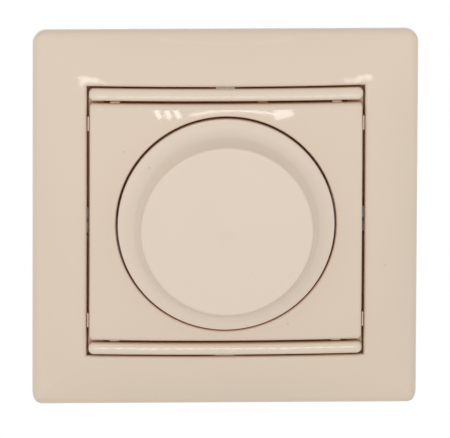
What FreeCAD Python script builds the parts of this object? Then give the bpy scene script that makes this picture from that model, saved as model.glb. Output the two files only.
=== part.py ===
import FreeCAD, Part
import math
import os
import re
import Sketcher

# Rotary dimmer for a round wall box, with a square frame, a push and turn knob
# and claws that grip the box.
#
# Every piece is drawn lying on its back: x to the right, y up the wall and z
# out of the wall, with z = 0 on the wall's face and the knob's axis along z.
# What lies in the box has a negative z. At the end each piece is stood up, so
# that up the wall becomes +Z and the front looks along -Y.

# Driving dimensions
SIZES = {
    # Surround frame
    "frame_width": 80.0,
    "frame_corner": 2.8,
    "frame_wall": 2.0,
    "opening_width": 57.6,
    "rim_height": 5.9,
    "rim_drop": 1.4,
    "rim_round": 0.6,
    "edge_height": 0.7,
    "edge_round": 2.2,
    "face_bow": 13.1,
    "corner_bow": 3.4,
    "hollow_slope": 27.0,
    "meet_angle": 84.0,
    "face_margin": 1.5,
    "skirt_wall": 1.6,
    "ledge_width": 2.0,
    "ledge_thickness": 1.2,
    "screw_relief": 3.9,
    "claw_relief": 3.3,
    "relief_height": 4.2,
    # Holder ring with the two bars
    "holder_gap": 0.35,
    "holder_corner": 0.8,
    "holder_thickness": 1.4,
    "holder_land": 3.0,
    "bar_depth": 2.65,
    "bar_height": 6.5,
    "bar_drop": 1.1,
    "bar_corner": 1.1,
    "bar_round": 1.0,
    "rib_reach": 0.25,
    "rib_length": 3.0,
    "rib_spread": 21.0,
    "rib_height": 1.5,
    "holder_web": 0.5,
    # Centre plate with the knob's well
    "plate_width": 56.6,
    "plate_height": 50.7,
    "plate_crown": 8.2,
    "dome_radius": 296.0,
    "plate_wall": 1.4,
    "plate_hollow": 1.2,
    "plate_corner": 0.8,
    "plate_roll": 1.4,
    "well_wall": 1.3,
    "well_overlap": 0.24,
    "floor_thickness": 1.4,
    "lip_round": 0.45,
    # Knob
    "knob_radius": 22.5,
    "knob_gap": 0.35,
    "knob_top": 14.2,
    "face_radius": 17.9,
    "face_round": 0.5,
    "dish_radius": 7.4,
    "dish_depth": 0.08,
    "flare_slope_top": 80.0,
    "flare_slope_mid": 62.0,
    "flare_slope_foot": 12.0,
    "flare_radius_top": 12.0,
    "flare_radius_foot": 3.2,
    "ring_slope": 35.0,
    "ring_edge_round": 0.4,
    "knob_skirt_end": 4.6,
    "knob_wall": 1.6,
    "boss_radius": 4.8,
    "boss_end": 7.7,
    "boss_slit": 0.9,
    "boss_slit_depth": 3.4,
    "knob_rib": 1.1,
    "knob_rib_height": 1.8,
    "knob_ribs": 6.0,
    "push_travel": 1.5,
    "clip_thickness": 0.5,
    "clip_width": 2.2,
    "clip_gap_angle": 50.0,
    # Spindle, bushing and nut
    "spindle_radius": 3.0,
    "spindle_flat": 0.6,
    "running_gap": 0.06,
    "fit_gap": 0.02,
    "spindle_front": 12.0,
    "spindle_round": 0.3,
    "bushing_radius": 4.95,
    "bushing_front": 5.6,
    "bushing_flange": 6.2,
    "flange_thickness": 0.8,
    "thread_gap": 0.15,
    "nut_width": 14.0,
    "nut_thickness": 2.2,
    "nut_chamfer": 0.5,
    "washer_radius": 8.0,
    "washer_thickness": 0.5,
    "washer_tooth": 1.2,
    "washer_teeth": 8.0,
    # Support plate
    "support_width": 71.0,
    "support_corner": 4.0,
    "support_thickness": 1.0,
    "box_screw_spacing": 60.0,
    "slot_width": 4.0,
    "slot_length": 7.0,
    # Heat sink
    "sink_thickness": 1.5,
    "tab_width": 20.0,
    "tab_length": 12.5,
    "tab_bend": 0.8,
    "housing_screw_head": 2.3,
    "housing_screw_radius": 1.1,
    "housing_screw_length": 9.0,
    "sunk_slot_depth": 0.3,
    "sink_gap": 0.3,
    # Housing
    "housing_width": 47.0,
    "housing_chamfer": 10.0,
    "housing_depth": 26.0,
    "housing_wall": 1.5,
    "post_place": 16.0,
    "post_radius": 2.2,
    "housing_round": 0.8,
    "vent_length": 14.0,
    "vent_width": 1.6,
    "vent_pitch": 3.6,
    "vent_place": 6.0,
    "vent_count": 4.0,
    # Potentiometer
    "case_width": 16.5,
    "pot_depth": 7.5,
    "case_wall": 1.0,
    "track_thickness": 0.8,
    "track_radius": 6.4,
    "track_gap": 2.4,
    "case_corner": 0.8,
    "case_bore_gap": 0.33,
    "rotor_radius": 6.9,
    "rotor_thickness": 2.6,
    "slide_gap": 0.1,
    "end_gap": 0.3,
    "wiper_thickness": 0.3,
    "wiper_hole": 3.75,
    "wiper_finger": 0.9,
    "wiper_place": 5.4,
    # Switch
    "switch_depth": 7.2,
    "switch_floor": 0.8,
    "plunger_collar": 4.2,
    "collar_thickness": 1.0,
    "plunger_stem": 2.2,
    "spring_wire": 0.45,
    "spring_radius": 3.1,
    "spring_turns": 4.0,
    "blade_length": 11.0,
    "blade_width": 2.2,
    "blade_thickness": 0.4,
    "blade_place": 6.0,
    "contact_radius": 0.9,
    "contact_height": 0.6,
    "contact_gap": 0.9,
    # Board and its parts
    "board_width": 43.4,
    "board_chamfer": 15.2,
    "board_thickness": 1.6,
    "rest_rib": 1.2,
    "rest_length": 6.0,
    "choke_place": 15.2,
    "choke_height": 6.4,
    "core_radius": 2.8,
    "core_length": 22.0,
    "winding_radius": 4.6,
    "winding_length": 16.0,
    "lead_radius": 0.45,
    "crossing_lead": 0.32,
    "lead_bend": 0.9,
    "capacitor_width": 13.0,
    "capacitor_depth": 5.4,
    "capacitor_height": 10.5,
    "capacitor_place": 16.5,
    "capacitor_corner": 0.6,
    "small_capacitor_width": 6.5,
    "small_capacitor_depth": 2.7,
    "small_capacitor_height": 5.2,
    "small_capacitor_corner": 0.4,
    "small_capacitor_place": 8.2,
    "small_capacitor_row": 13.2,
    "fuse_place": 15.4,
    "fuse_height": 4.6,
    "fuse_radius": 2.45,
    "fuse_wall": 0.6,
    "fuse_length": 20.0,
    "cap_length": 4.6,
    "resistor_radius": 1.2,
    "resistor_length": 6.3,
    "resistor_place": 9.1,
    "resistor_row": 14.8,
    "resistor_pitch": 3.3,
    "diode_radius": 1.0,
    "diode_length": 4.2,
    "diode_place": 10.9,
    "diode_row": 13.8,
    "cap_wall": 0.2,
    "fuse_clip_width": 3.6,
    "fuse_clip_thickness": 0.5,
    "fuse_clip_rise": 1.4,
    "triac_width": 8.0,
    "triac_depth": 3.0,
    "triac_length": 10.8,
    "triac_start": 1.2,
    "triac_screw": 1.45,
    "triac_screw_head": 2.6,
    "triac_lead_pitch": 2.3,
    "triac_lead_width": 0.9,
    "mica_thickness": 0.2,
    # Terminals
    "terminal_pitch": 8.6,
    "terminal_block_width": 25.8,
    "terminal_block_depth": 9.0,
    "clamp_width": 5.6,
    "clamp_depth": 6.0,
    "clamp_height": 5.2,
    "terminal_gap": 0.3,
    "terminal_roof": 0.7,
    "clamp_wall": 0.9,
    "wire_entry": 3.4,
    "terminal_screw": 1.5,
    "terminal_head": 2.2,
    "terminal_head_height": 1.6,
    # Claws
    "claw_width": 12.0,
    "claw_thickness": 1.2,
    "claw_reach": 4.6,
    "claw_depth": 15.0,
    "claw_place": 24.2,
    "claw_screw_place": 27.6,
    "claw_screw_radius": 1.75,
    "claw_screw_length": 14.0,
    "claw_head_radius": 2.9,
    "claw_head_height": 1.8,
    "claw_slot": 4.8,
    "claw_tooth": 0.8,
    "claw_teeth": 6.0,
    "claw_bridge": 1.6,
    "claw_ear": 2.4,
    "claw_ear_rise": 0.6,
    "claw_clearance": 0.35,
    "screw_slot_width": 0.7,
    "screw_slot_depth": 0.7,
}

doc = FreeCAD.newDocument("rotary_dimmer")
sheet = doc.addObject("Spreadsheet::Sheet", "sizes")
for row, (alias, value) in enumerate(SIZES.items(), 1):
    sheet.set("A%d" % row, alias.replace("_", " "))
    sheet.set("B%d" % row, str(value))
    sheet.setAlias("B%d" % row, alias)
doc.recompute()

ALIAS = re.compile(r"\b(%s)\b" % "|".join(SIZES))
subparts = []
NEAR = 0.01


# Formulas


def in_sheet(formula):
    """The formula with each driving dimension pointing at its cell."""
    return ALIAS.sub(r"sizes.\1", str(formula))


def number(formula):
    """Present value of a formula, for first guesses and for choosing edges."""
    return float(sheet.evalExpression(str(formula)))


def bind(item, path, formula):
    item.setExpression(path, in_sheet(formula))


# Sketches


def sketch_at(body, plane="XY", offset="0"):
    """Sketch on one of the body's origin planes, moved along its normal."""
    sketch = body.newObject("Sketcher::SketchObject", "sketch")
    for feature in body.Origin.OriginFeatures:
        if feature.Role == plane + "_Plane":
            sketch.AttachmentSupport = [(feature, "")]
    sketch.MapMode = "FlatFace"
    bind(sketch, "AttachmentOffset.Base.z", offset)
    return sketch


def pin(sketch, kind, geometry, point, formula):
    """Holds one coordinate of a point to a formula."""
    index = sketch.addConstraint(Sketcher.Constraint(kind, -1, 1, geometry, point, number(formula)))
    bind(sketch, "Constraints[%d]" % index, formula)


def circle(sketch, radius, x="0", y="0"):
    centre = FreeCAD.Vector(number(x), number(y), 0)
    index = sketch.addGeometry(Part.Circle(centre, FreeCAD.Vector(0, 0, 1), number(radius)))
    pin(sketch, "DistanceX", index, 3, x)
    pin(sketch, "DistanceY", index, 3, y)
    limit = sketch.addConstraint(Sketcher.Constraint("Radius", index, number(radius)))
    bind(sketch, "Constraints[%d]" % limit, radius)


def outline(sketch, corners):
    """Closed outline. A corner is (x, y), or (x, y, turn, radius) where an arc leads to the next.

    The turn is "left" or "right", seen along the way round.
    """
    points = [FreeCAD.Vector(number(c[0]), number(c[1]), 0) for c in corners]
    ends = []
    for i, corner in enumerate(corners):
        start = points[i]
        end = points[(i + 1) % len(points)]
        if len(corner) == 2:
            index = sketch.addGeometry(Part.LineSegment(start, end))
            ends.append((index, 1, 2))
            continue
        radius = number(corner[3])
        chord = end - start
        side = FreeCAD.Vector(-chord.y, chord.x, 0).normalize()
        if corner[2] == "right":
            side = side * -1
        rise = math.sqrt(max(radius ** 2 - chord.Length ** 2 / 4, 0))
        middle = (start + end) * 0.5 - side * (radius - rise)
        index = sketch.addGeometry(Part.Arc(start, middle, end))
        limit = sketch.addConstraint(Sketcher.Constraint("Radius", index, radius))
        bind(sketch, "Constraints[%d]" % limit, corner[3])
        ends.append((index, 1, 2) if corner[2] == "left" else (index, 2, 1))
    for i, corner in enumerate(corners):
        index, first, last = ends[i]
        following = ends[(i + 1) % len(ends)]
        sketch.addConstraint(Sketcher.Constraint("Coincident", index, last, following[0], following[1]))
        pin(sketch, "DistanceX", index, first, corner[0])
        pin(sketch, "DistanceY", index, first, corner[1])


def rectangle(sketch, width, height, x="0", y="0", corner=None):
    left = f"{x} - ({width}) / 2"
    right = f"{x} + ({width}) / 2"
    low = f"{y} - ({height}) / 2"
    high = f"{y} + ({height}) / 2"
    if corner is None:
        outline(sketch, [(left, low), (right, low), (right, high), (left, high)])
        return
    outline(sketch, [
        (f"{left} + {corner}", low),
        (f"{right} - {corner}", low, "left", corner),
        (right, f"{low} + {corner}"),
        (right, f"{high} - {corner}", "left", corner),
        (f"{right} - {corner}", high),
        (f"{left} + {corner}", high, "left", corner),
        (left, f"{high} - {corner}"),
        (left, f"{low} + {corner}", "left", corner),
    ])


def stadium(sketch, width, length, x="0", y="0", flat=False):
    """Slot outline with round ends, long up the wall or, if flat, across it."""
    half = f"({width}) / 2"
    reach = f"({length}) / 2"
    straight = f"(({length}) - ({width})) / 2"
    if flat:
        outline(sketch, [
            (f"{x} - {straight}", f"{y} - {half}"),
            (f"{x} + {straight}", f"{y} - {half}", "left", half),
            (f"{x} + {reach}", y, "left", half),
            (f"{x} + {straight}", f"{y} + {half}"),
            (f"{x} - {straight}", f"{y} + {half}", "left", half),
            (f"{x} - {reach}", y, "left", half),
        ])
        return
    outline(sketch, [
        (f"{x} + {half}", f"{y} - {straight}"),
        (f"{x} + {half}", f"{y} + {straight}", "left", half),
        (x, f"{y} + {reach}", "left", half),
        (f"{x} - {half}", f"{y} + {straight}"),
        (f"{x} - {half}", f"{y} - {straight}", "left", half),
        (x, f"{y} - {reach}", "left", half),
    ])


def flatted(sketch, radius, flat):
    """Circle with one flat at y = flat, as on a D-shaped shaft."""
    chord = f"sqrt(({radius})^2 - ({flat})^2)"
    outline(sketch, [
        (chord, flat),
        (f"-{chord}", flat, "left", radius),
        ("0", f"-({radius})", "left", radius),
    ])


def cut_square(sketch, width, chamfer):
    """Square with its four corners cut off."""
    half = f"({width}) / 2"
    inner = f"({width}) / 2 - ({chamfer})"
    outline(sketch, [
        (f"-({inner})", f"-({half})"), (inner, f"-({half})"),
        (half, f"-({inner})"), (half, inner),
        (inner, half), (f"-({inner})", half),
        (f"-({half})", inner), (f"-({half})", f"-({inner})"),
    ])


# Features


def new_body(name):
    return doc.addObject("PartDesign::Body", name)


def checked(body, feature, adds):
    """Recomputes a feature and makes sure that it added or took material."""
    before = body.Shape.Volume if body.Shape.Solids else 0.0
    doc.recompute()
    grew = feature.Shape.Volume - before
    if (grew <= 0) if adds else (grew >= 0):
        raise ValueError("%s in %s changed the volume by %.3f" % (feature.Name, body.Name, grew))
    return feature


def pad(body, sketch, length, back=False):
    doc.recompute()
    feature = body.newObject("PartDesign::Pad", "pad")
    feature.Profile = sketch
    feature.Reversed = back
    bind(feature, "Length", length)
    return checked(body, feature, True)


def pocket(body, sketch, length, forward=False):
    doc.recompute()
    feature = body.newObject("PartDesign::Pocket", "pocket")
    feature.Profile = sketch
    feature.Reversed = forward
    bind(feature, "Length", length)
    return checked(body, feature, False)


def turned(body, sketch, adds=True, axis="V_Axis"):
    """Full turn of a sketch about its upright axis, added or cut."""
    doc.recompute()
    kind = "PartDesign::Revolution" if adds else "PartDesign::Groove"
    feature = body.newObject(kind, "turned")
    feature.Profile = sketch
    feature.ReferenceAxis = (sketch, [axis])
    feature.Angle = 360
    return checked(body, feature, adds)


def around(body, features, count, sketch, adds):
    """Repeats features around the z axis."""
    pattern = body.newObject("PartDesign::PolarPattern", "around")
    pattern.Originals = features
    pattern.Axis = (sketch, ["N_Axis"])
    pattern.Angle = 360
    bind(pattern, "Occurrences", count)
    body.Tip = pattern
    return checked(body, pattern, adds)


def along(body, features, sketch, axis, pitch, count, adds):
    """Repeats features along one of a sketch's axes."""
    pattern = body.newObject("PartDesign::LinearPattern", "along")
    pattern.Originals = features
    pattern.Direction = (sketch, [axis])
    bind(pattern, "Length", f"({pitch}) * (({count}) - 1)")
    bind(pattern, "Occurrences", count)
    body.Tip = pattern
    return checked(body, pattern, adds)


def named_edges(feature, wanted):
    names = ["Edge%d" % i for i, edge in enumerate(feature.Shape.Edges, 1) if wanted(edge)]
    if not names:
        raise ValueError("no edge found on " + feature.Name)
    return names


def rounded(body, wanted, radius):
    """Fillet on the edges of the body's last feature that a test picks."""
    base = body.Tip
    feature = body.newObject("PartDesign::Fillet", "rounded")
    feature.Base = (base, named_edges(base, wanted))
    bind(feature, "Radius", radius)
    doc.recompute()
    return feature


def block(body, width, height, base, thickness, x="0", y="0", corner=None):
    """Rectangular pad that stands on z = base."""
    sketch = sketch_at(body, "XY", base)
    rectangle(sketch, width, height, x, y, corner)
    return pad(body, sketch, thickness)


def block_cut(body, width, height, base, thickness, x="0", y="0", corner=None):
    """Rectangular pocket between z = base and base + thickness."""
    sketch = sketch_at(body, "XY", f"{base} + {thickness}")
    rectangle(sketch, width, height, x, y, corner)
    return pocket(body, sketch, thickness)


def disc(body, radius, base, thickness, x="0", y="0"):
    sketch = sketch_at(body, "XY", base)
    circle(sketch, radius, x, y)
    return pad(body, sketch, thickness)


def disc_cut(body, radius, base, thickness, x="0", y="0"):
    sketch = sketch_at(body, "XY", f"{base} + {thickness}")
    circle(sketch, radius, x, y)
    return pocket(body, sketch, thickness)


def cylinder_across(body, radius, start, length, x, z):
    """Round bar along y, from y = start down the wall."""
    sketch = sketch_at(body, "XZ", f"-({start})")
    circle(sketch, radius, x, z)
    return pad(body, sketch, length)


def cylinder_along_x(body, radius, start, length, y, z):
    """Round bar along x, from x = start to the right."""
    sketch = sketch_at(body, "YZ", start)
    circle(sketch, radius, y, z)
    return pad(body, sketch, length)


def keep(item, label):
    """Names a finished piece and stands it up."""
    item.Label = label
    item.Placement = FreeCAD.Placement(
        FreeCAD.Vector(0, 0, 0), FreeCAD.Rotation(FreeCAD.Vector(1, 0, 0), 90))
    subparts.append(item)


def upright(edge):
    """True for an edge that runs along z."""
    first, last = edge.Vertexes[0].Point, edge.Vertexes[-1].Point
    return abs(first.x - last.x) < 1e-6 and abs(first.y - last.y) < 1e-6 and abs(first.z - last.z) > 1e-6


def at_radius(edge, radius):
    """True where every point of an edge lies at one distance from the knob axis."""
    return all(abs(math.hypot(point.x, point.y) - radius) < 0.02 for point in edge.discretize(9))


# Heights of the stack in front of the wall and depths behind it, worked out once
LEDGE_TOP = "(support_thickness + ledge_thickness)"
HOLDER_TOP = "(support_thickness + ledge_thickness + holder_thickness)"
WELL_RADIUS = "(knob_radius + knob_gap)"
FLOOR_TOP = "(support_thickness + floor_thickness)"
BAR_CENTRE = "(opening_width / 2 - holder_gap - bar_depth / 2)"
POT_REAR = "(-sink_thickness - pot_depth)"
SPINDLE_REAR = "(-sink_thickness - pot_depth - end_gap)"
ROTOR_FRONT = "(-sink_thickness - case_wall - flange_thickness - slide_gap)"
BOARD_FRONT = "(-sink_thickness - pot_depth - switch_depth)"
BOARD_REAR = "(-sink_thickness - pot_depth - switch_depth - board_thickness)"
SWITCH_FLOOR = "(-sink_thickness - pot_depth - switch_depth + switch_floor)"
INNER_WIDTH = "(housing_width - 2 * housing_wall)"
INNER_CHAMFER = "(housing_chamfer - housing_wall * (2 - sqrt(2)))"
INNER_REAR = "(housing_wall - housing_depth)"
TAB_FACE = "(housing_width / 2 - housing_wall - sink_gap - sink_thickness)"
TRIAC_START = "(-sink_thickness - triac_start)"
TRIAC_HOLE = "(-sink_thickness - triac_start - triac_length / 3)"
TERMINAL_Y = "(terminal_block_depth / 2 + terminal_gap - housing_width / 2 + housing_wall)"
CLAMP_REAR = "(-sink_thickness - pot_depth - switch_depth - board_thickness - terminal_roof - clamp_height)"
WIRE_Z = "(-sink_thickness - pot_depth - switch_depth - board_thickness - terminal_roof - clamp_height / 2)"
COLLAR_FRONT = "(-sink_thickness - pot_depth - switch_floor - slide_gap)"
CLAMP_Y = "(clamp_depth / 2 + terminal_gap - housing_width / 2 + housing_wall)"


# Surround frame


def frame_section(body, place, lower, bow):
    """Outline of what lies in front of the frame's face, cut across one side.

    lower is how far the rim of the opening has dropped here, and bow how much
    steeper than its chord the face is where it meets the rounded outer edge.
    """
    rim_centre_x = "(opening_width / 2 + rim_round * sin(meet_angle))"
    rim_centre_z = f"(rim_height - rim_round - ({lower}))"
    edge_centre_x = "(frame_width / 2 - edge_round * sin(meet_angle))"
    edge_centre_z = "(edge_height - edge_round * cos(meet_angle))"
    drop = f"({rim_centre_z} + rim_round - {edge_centre_z} - edge_round)"
    chord = f"{drop} / ({edge_centre_x} - {rim_centre_x})"
    slope = f"(atan({chord}) + {bow} * 1 deg)"
    turn_x = f"({edge_centre_x} + edge_round * sin({slope}))"
    turn_z = f"({edge_centre_z} + edge_round * cos({slope}))"
    run = f"({turn_x} - {rim_centre_x})"
    fall = f"({rim_centre_z} + rim_round - {turn_z})"
    face_radius = f"(({run})^2 + ({fall})^2) / (2 * ({run} * sin({slope}) - {fall} * cos({slope})))"
    start_z = f"{rim_centre_z} + rim_round * cos(meet_angle)"
    outside = "frame_width / 2 + face_margin"
    inside = "opening_width / 2 - face_margin"
    sketch = sketch_at(body, "XZ", place)
    outline(sketch, [
        (inside, start_z),
        ("opening_width / 2", start_z, "right", "rim_round"),
        (rim_centre_x, f"{rim_centre_z} + rim_round", "right", face_radius),
        (turn_x, turn_z, "right", "edge_round"),
        ("frame_width / 2", "edge_height"),
        (outside, "edge_height"),
        (outside, "rim_height + face_margin"),
        (inside, "rim_height + face_margin"),
    ])
    return sketch


def make_face_cutter(turn):
    """What lies in front of one side of the face, cut off on the diagonals."""
    body = new_body("face_cutter")
    end = "(frame_width / 2 + face_margin)"
    end_drop = f"rim_drop * ({end} / (opening_width / 2))^2"
    low = frame_section(body, f"-{end}", end_drop, "corner_bow")
    middle = frame_section(body, "0", "0", "face_bow")
    high = frame_section(body, end, end_drop, "corner_bow")
    doc.recompute()
    face = body.newObject("PartDesign::AdditiveLoft", "face")
    face.Profile = low
    face.Sections = [middle, high]
    checked(body, face, True)
    mitre = sketch_at(body, "XY", "rim_height + face_margin")
    near = "opening_width / 2 - 2 * face_margin"
    far = "frame_width / 2 + 2 * face_margin"
    for up in ("", "-"):
        outline(mitre, [(near, f"{up}({near})"), (far, f"{up}({far})"), (near, f"{up}({far})")])
    pocket(body, mitre, "rim_height + face_margin")
    body.Placement = FreeCAD.Placement(
        FreeCAD.Vector(0, 0, 0), FreeCAD.Rotation(FreeCAD.Vector(0, 0, 1), turn))
    return body


def make_frame_hollow():
    """Hollow behind the face, with sloped flanks, and the reliefs for screws."""
    body = new_body("frame_hollow")
    foot = "(frame_width - 2 * frame_wall)"
    top = "(rim_height - 2 * frame_wall)"
    low = sketch_at(body, "XY", "0")
    rectangle(low, foot, foot)
    high = sketch_at(body, "XY", top)
    rectangle(high, f"{foot} - 2 * {top} / tan(hollow_slope)", f"{foot} - 2 * {top} / tan(hollow_slope)")
    doc.recompute()
    flanks = body.newObject("PartDesign::AdditiveLoft", "flanks")
    flanks.Profile = low
    flanks.Sections = [high]
    checked(body, flanks, True)
    block(body, foot, foot, "-face_margin", "face_margin")
    block_cut(body, "opening_width + 2 * skirt_wall", "opening_width + 2 * skirt_wall",
              "-face_margin", "rim_height + face_margin")
    block(body, "support_width + 2 * holder_gap", "support_width + 2 * holder_gap",
          "-face_margin", "support_thickness + face_margin")
    for side in ("", "-"):
        disc(body, "screw_relief", "0", "relief_height", "0", f"{side}box_screw_spacing / 2")
        disc(body, "claw_relief", "0", "relief_height", f"{side}claw_screw_place")
    return body


def make_surround_frame():
    outside = new_body("frame_outside")
    base = sketch_at(outside, "XY", "0")
    rectangle(base, "frame_width", "frame_width", corner="frame_corner")
    pad(outside, base, "rim_height + face_margin / 2")
    block_cut(outside, "opening_width", "opening_width", "0", "rim_height + face_margin")
    ledge = sketch_at(outside, "XY", "support_thickness")
    rectangle(ledge, "opening_width + skirt_wall", "opening_width + skirt_wall")
    rectangle(ledge, "opening_width - 2 * ledge_width", "opening_width - 2 * ledge_width")
    pad(outside, ledge, "ledge_thickness")

    frame = outside
    for tool in [make_face_cutter(turn) for turn in (0, 90, 180, 270)] + [make_frame_hollow()]:
        left_over = doc.addObject("Part::Cut", "frame_cut")
        left_over.Base = frame
        left_over.Tool = tool
        frame = left_over
    doc.recompute()
    keep(frame, "surround_frame")


# Holder ring with the two bars


def make_bar_holder():
    body = new_body("bar_holder")
    width = "(opening_width - 2 * holder_gap)"
    ring = sketch_at(body, "XY", LEDGE_TOP)
    rectangle(ring, width, width, corner="holder_corner")
    rectangle(ring, "plate_width - 2 * holder_land", f"2 * ({BAR_CENTRE} - bar_depth / 2)")
    pad(body, ring, "holder_thickness")
    bar = sketch_at(body, "XZ", f"-({BAR_CENTRE} + bar_depth / 2)")
    arch = f"(({width} / 2)^2 + bar_drop^2) / (2 * bar_drop)"
    outline(bar, [
        (f"-{width} / 2", LEDGE_TOP),
        (f"{width} / 2", LEDGE_TOP),
        (f"{width} / 2", "bar_height - bar_drop", "left", arch),
        (f"-{width} / 2", "bar_height - bar_drop"),
    ])
    one = pad(body, bar, "bar_depth")
    around(body, [one], "2", ring, True)
    end_height = number("bar_height - bar_drop")
    rounded(body, lambda e: upright(e) and e.BoundBox.ZMax > end_height - NEAR, "bar_corner")
    rounded(body, lambda e: e.BoundBox.ZMin > end_height - NEAR, "bar_round")
    for across in ("", "-"):
        for up in ("", "-"):
            block(body, "rib_reach", "rib_length", f"{HOLDER_TOP} - holder_thickness / 2",
                  "holder_thickness / 2 + rib_height",
                  f"{across}({width} / 2 - rib_reach / 2 + rib_reach)", f"{up}rib_spread")
    for side in ("", "-"):
        disc_cut(body, "screw_relief", LEDGE_TOP, f"relief_height - {LEDGE_TOP}",
                 "0", f"{side}box_screw_spacing / 2")
        disc_cut(body, "claw_relief", LEDGE_TOP, "holder_thickness - holder_web",
                 f"{side}claw_screw_place")
    keep(body, "bar_holder")


# Centre plate with the well that the knob turns in


def make_centre_plate():
    body = new_body("centre_plate")
    block(body, "plate_width", "plate_height", HOLDER_TOP, f"plate_crown + face_margin - {HOLDER_TOP}")
    dome = sketch_at(body, "XZ", "0")
    outline(dome, [
        ("0", "plate_crown", "right", "dome_radius"),
        ("plate_width", "plate_crown - dome_radius + sqrt(dome_radius^2 - plate_width^2)"),
        ("plate_width", "plate_crown + 2 * face_margin"),
        ("0", "plate_crown + 2 * face_margin"),
    ])
    turned(body, dome, adds=False)
    edge_place = number("plate_height / 2")
    hollow_top = number(f"{HOLDER_TOP} + plate_hollow")
    rounded(body, lambda e: not upright(e) and e.BoundBox.ZMin > hollow_top
            and abs(abs(e.CenterOfMass.y) - edge_place) < NEAR, "plate_roll")
    rounded(body, upright, "plate_corner")
    block_cut(body, "plate_width - 2 * plate_wall", "plate_height - 2 * plate_wall",
              HOLDER_TOP, "plate_hollow")
    well = sketch_at(body, "XZ", "0")
    bore = "bushing_radius + thread_gap"
    outline(well, [
        (bore, "support_thickness"),
        (f"{WELL_RADIUS} + well_wall", "support_thickness"),
        (f"{WELL_RADIUS} + well_wall", f"{HOLDER_TOP} + plate_hollow + well_overlap"),
        (WELL_RADIUS, f"{HOLDER_TOP} + plate_hollow + well_overlap"),
        (WELL_RADIUS, FLOOR_TOP),
        (bore, FLOOR_TOP),
    ])
    turned(body, well)
    disc_cut(body, WELL_RADIUS, FLOOR_TOP, "plate_crown")
    lip = number(WELL_RADIUS)
    rounded(body, lambda e: at_radius(e, lip) and e.BoundBox.ZMin > hollow_top, "lip_round")
    keep(body, "centre_plate")


# Knob, turned profile with a flare between its face and its outer ring

TOP_INSIDE = "(knob_top - knob_wall - dish_depth)"
FLARE_X = "(face_radius + flare_radius_top * (sin(flare_slope_top) - sin(flare_slope_mid)))"
FLARE_Z = ("(knob_top - face_round"
           " - flare_radius_top * (cos(flare_slope_mid) - cos(flare_slope_top)))")
FOOT_X = f"({FLARE_X} + flare_radius_foot * (sin(flare_slope_mid) - sin(flare_slope_foot)))"
FOOT_Z = f"({FLARE_Z} - flare_radius_foot * (cos(flare_slope_foot) - cos(flare_slope_mid)))"
RING_X = "(knob_radius - ring_edge_round * (1 - sin(ring_slope)))"
RING_ARC = f"(({RING_X} - {FOOT_X}) / (sin(ring_slope) - sin(flare_slope_foot)))"
RING_Z = f"({FOOT_Z} - {RING_ARC} * (cos(flare_slope_foot) - cos(ring_slope)))"


def make_knob():
    body = new_body("knob")
    profile = sketch_at(body, "XZ", "0")
    outline(profile, [
        ("0", "boss_end"),
        ("boss_radius", "boss_end"),
        ("boss_radius", TOP_INSIDE),
        ("face_radius - knob_wall", TOP_INSIDE),
        (f"{FLARE_X} - knob_wall * sin(flare_slope_mid)", f"{FLARE_Z} - knob_wall * cos(flare_slope_mid)"),
        ("knob_radius - knob_wall", f"{FOOT_Z} - knob_wall"),
        ("knob_radius - knob_wall", "knob_skirt_end"),
        ("knob_radius", "knob_skirt_end"),
        ("knob_radius", f"{RING_Z} - ring_edge_round * cos(ring_slope)", "left", "ring_edge_round"),
        (RING_X, RING_Z, "left", RING_ARC),
        (FOOT_X, FOOT_Z, "right", "flare_radius_foot"),
        (FLARE_X, FLARE_Z, "right", "flare_radius_top"),
        ("face_radius", "knob_top - face_round", "left", "face_round"),
        ("face_radius - face_round", "knob_top"),
        ("dish_radius", "knob_top", "right", "(dish_radius^2 + dish_depth^2) / (2 * dish_depth)"),
        ("0", "knob_top - dish_depth"),
    ])
    turned(body, profile)
    centre = sketch_at(body, "XY", f"{TOP_INSIDE} - knob_rib_height")
    rib_start = "(boss_radius - knob_rib / 2)"
    rib_end = "(face_radius - knob_wall / 2)"
    rectangle(centre, f"{rib_end} - {rib_start}", "knob_rib", f"({rib_start} + {rib_end}) / 2")
    rib = pad(body, centre, "knob_rib_height")
    around(body, [rib], "knob_ribs", centre, True)
    bore = sketch_at(body, "XY", "boss_end")
    flatted(bore, "spindle_radius + fit_gap", "spindle_radius - spindle_flat + fit_gap")
    pocket(body, bore, "spindle_front + slide_gap - boss_end", forward=True)
    block_cut(body, "boss_slit", "2 * boss_radius + boss_slit", "boss_end", "boss_slit_depth")
    keep(body, "knob")


def make_knob_clip():
    body = new_body("knob_clip")
    ring = sketch_at(body, "XY", "boss_end + clip_thickness")
    circle(ring, "boss_radius + fit_gap + clip_thickness")
    circle(ring, "boss_radius + fit_gap")
    pad(body, ring, "clip_width")
    block_cut(body, "2 * boss_radius * sin(clip_gap_angle / 2)", "boss_radius",
              "boss_end", "2 * clip_width", "0", "boss_radius")
    keep(body, "knob_clip")


# Spindle, its bushing and what clamps the plate


def make_spindle():
    body = new_body("spindle")
    disc(body, "spindle_radius", SPINDLE_REAR, f"spindle_front - {SPINDLE_REAR}")
    rounded(body, lambda e: e.BoundBox.ZMin > number("spindle_front") - NEAR, "spindle_round")
    flat_place = "2 * spindle_radius - spindle_flat"
    block_cut(body, "2 * spindle_radius", "2 * spindle_radius", "bushing_front + push_travel",
              "spindle_front", "0", flat_place)
    block_cut(body, "2 * spindle_radius", "2 * spindle_radius", SPINDLE_REAR,
              f"{ROTOR_FRONT} - {SPINDLE_REAR} + push_travel + slide_gap", "0", flat_place)
    keep(body, "spindle")


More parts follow.
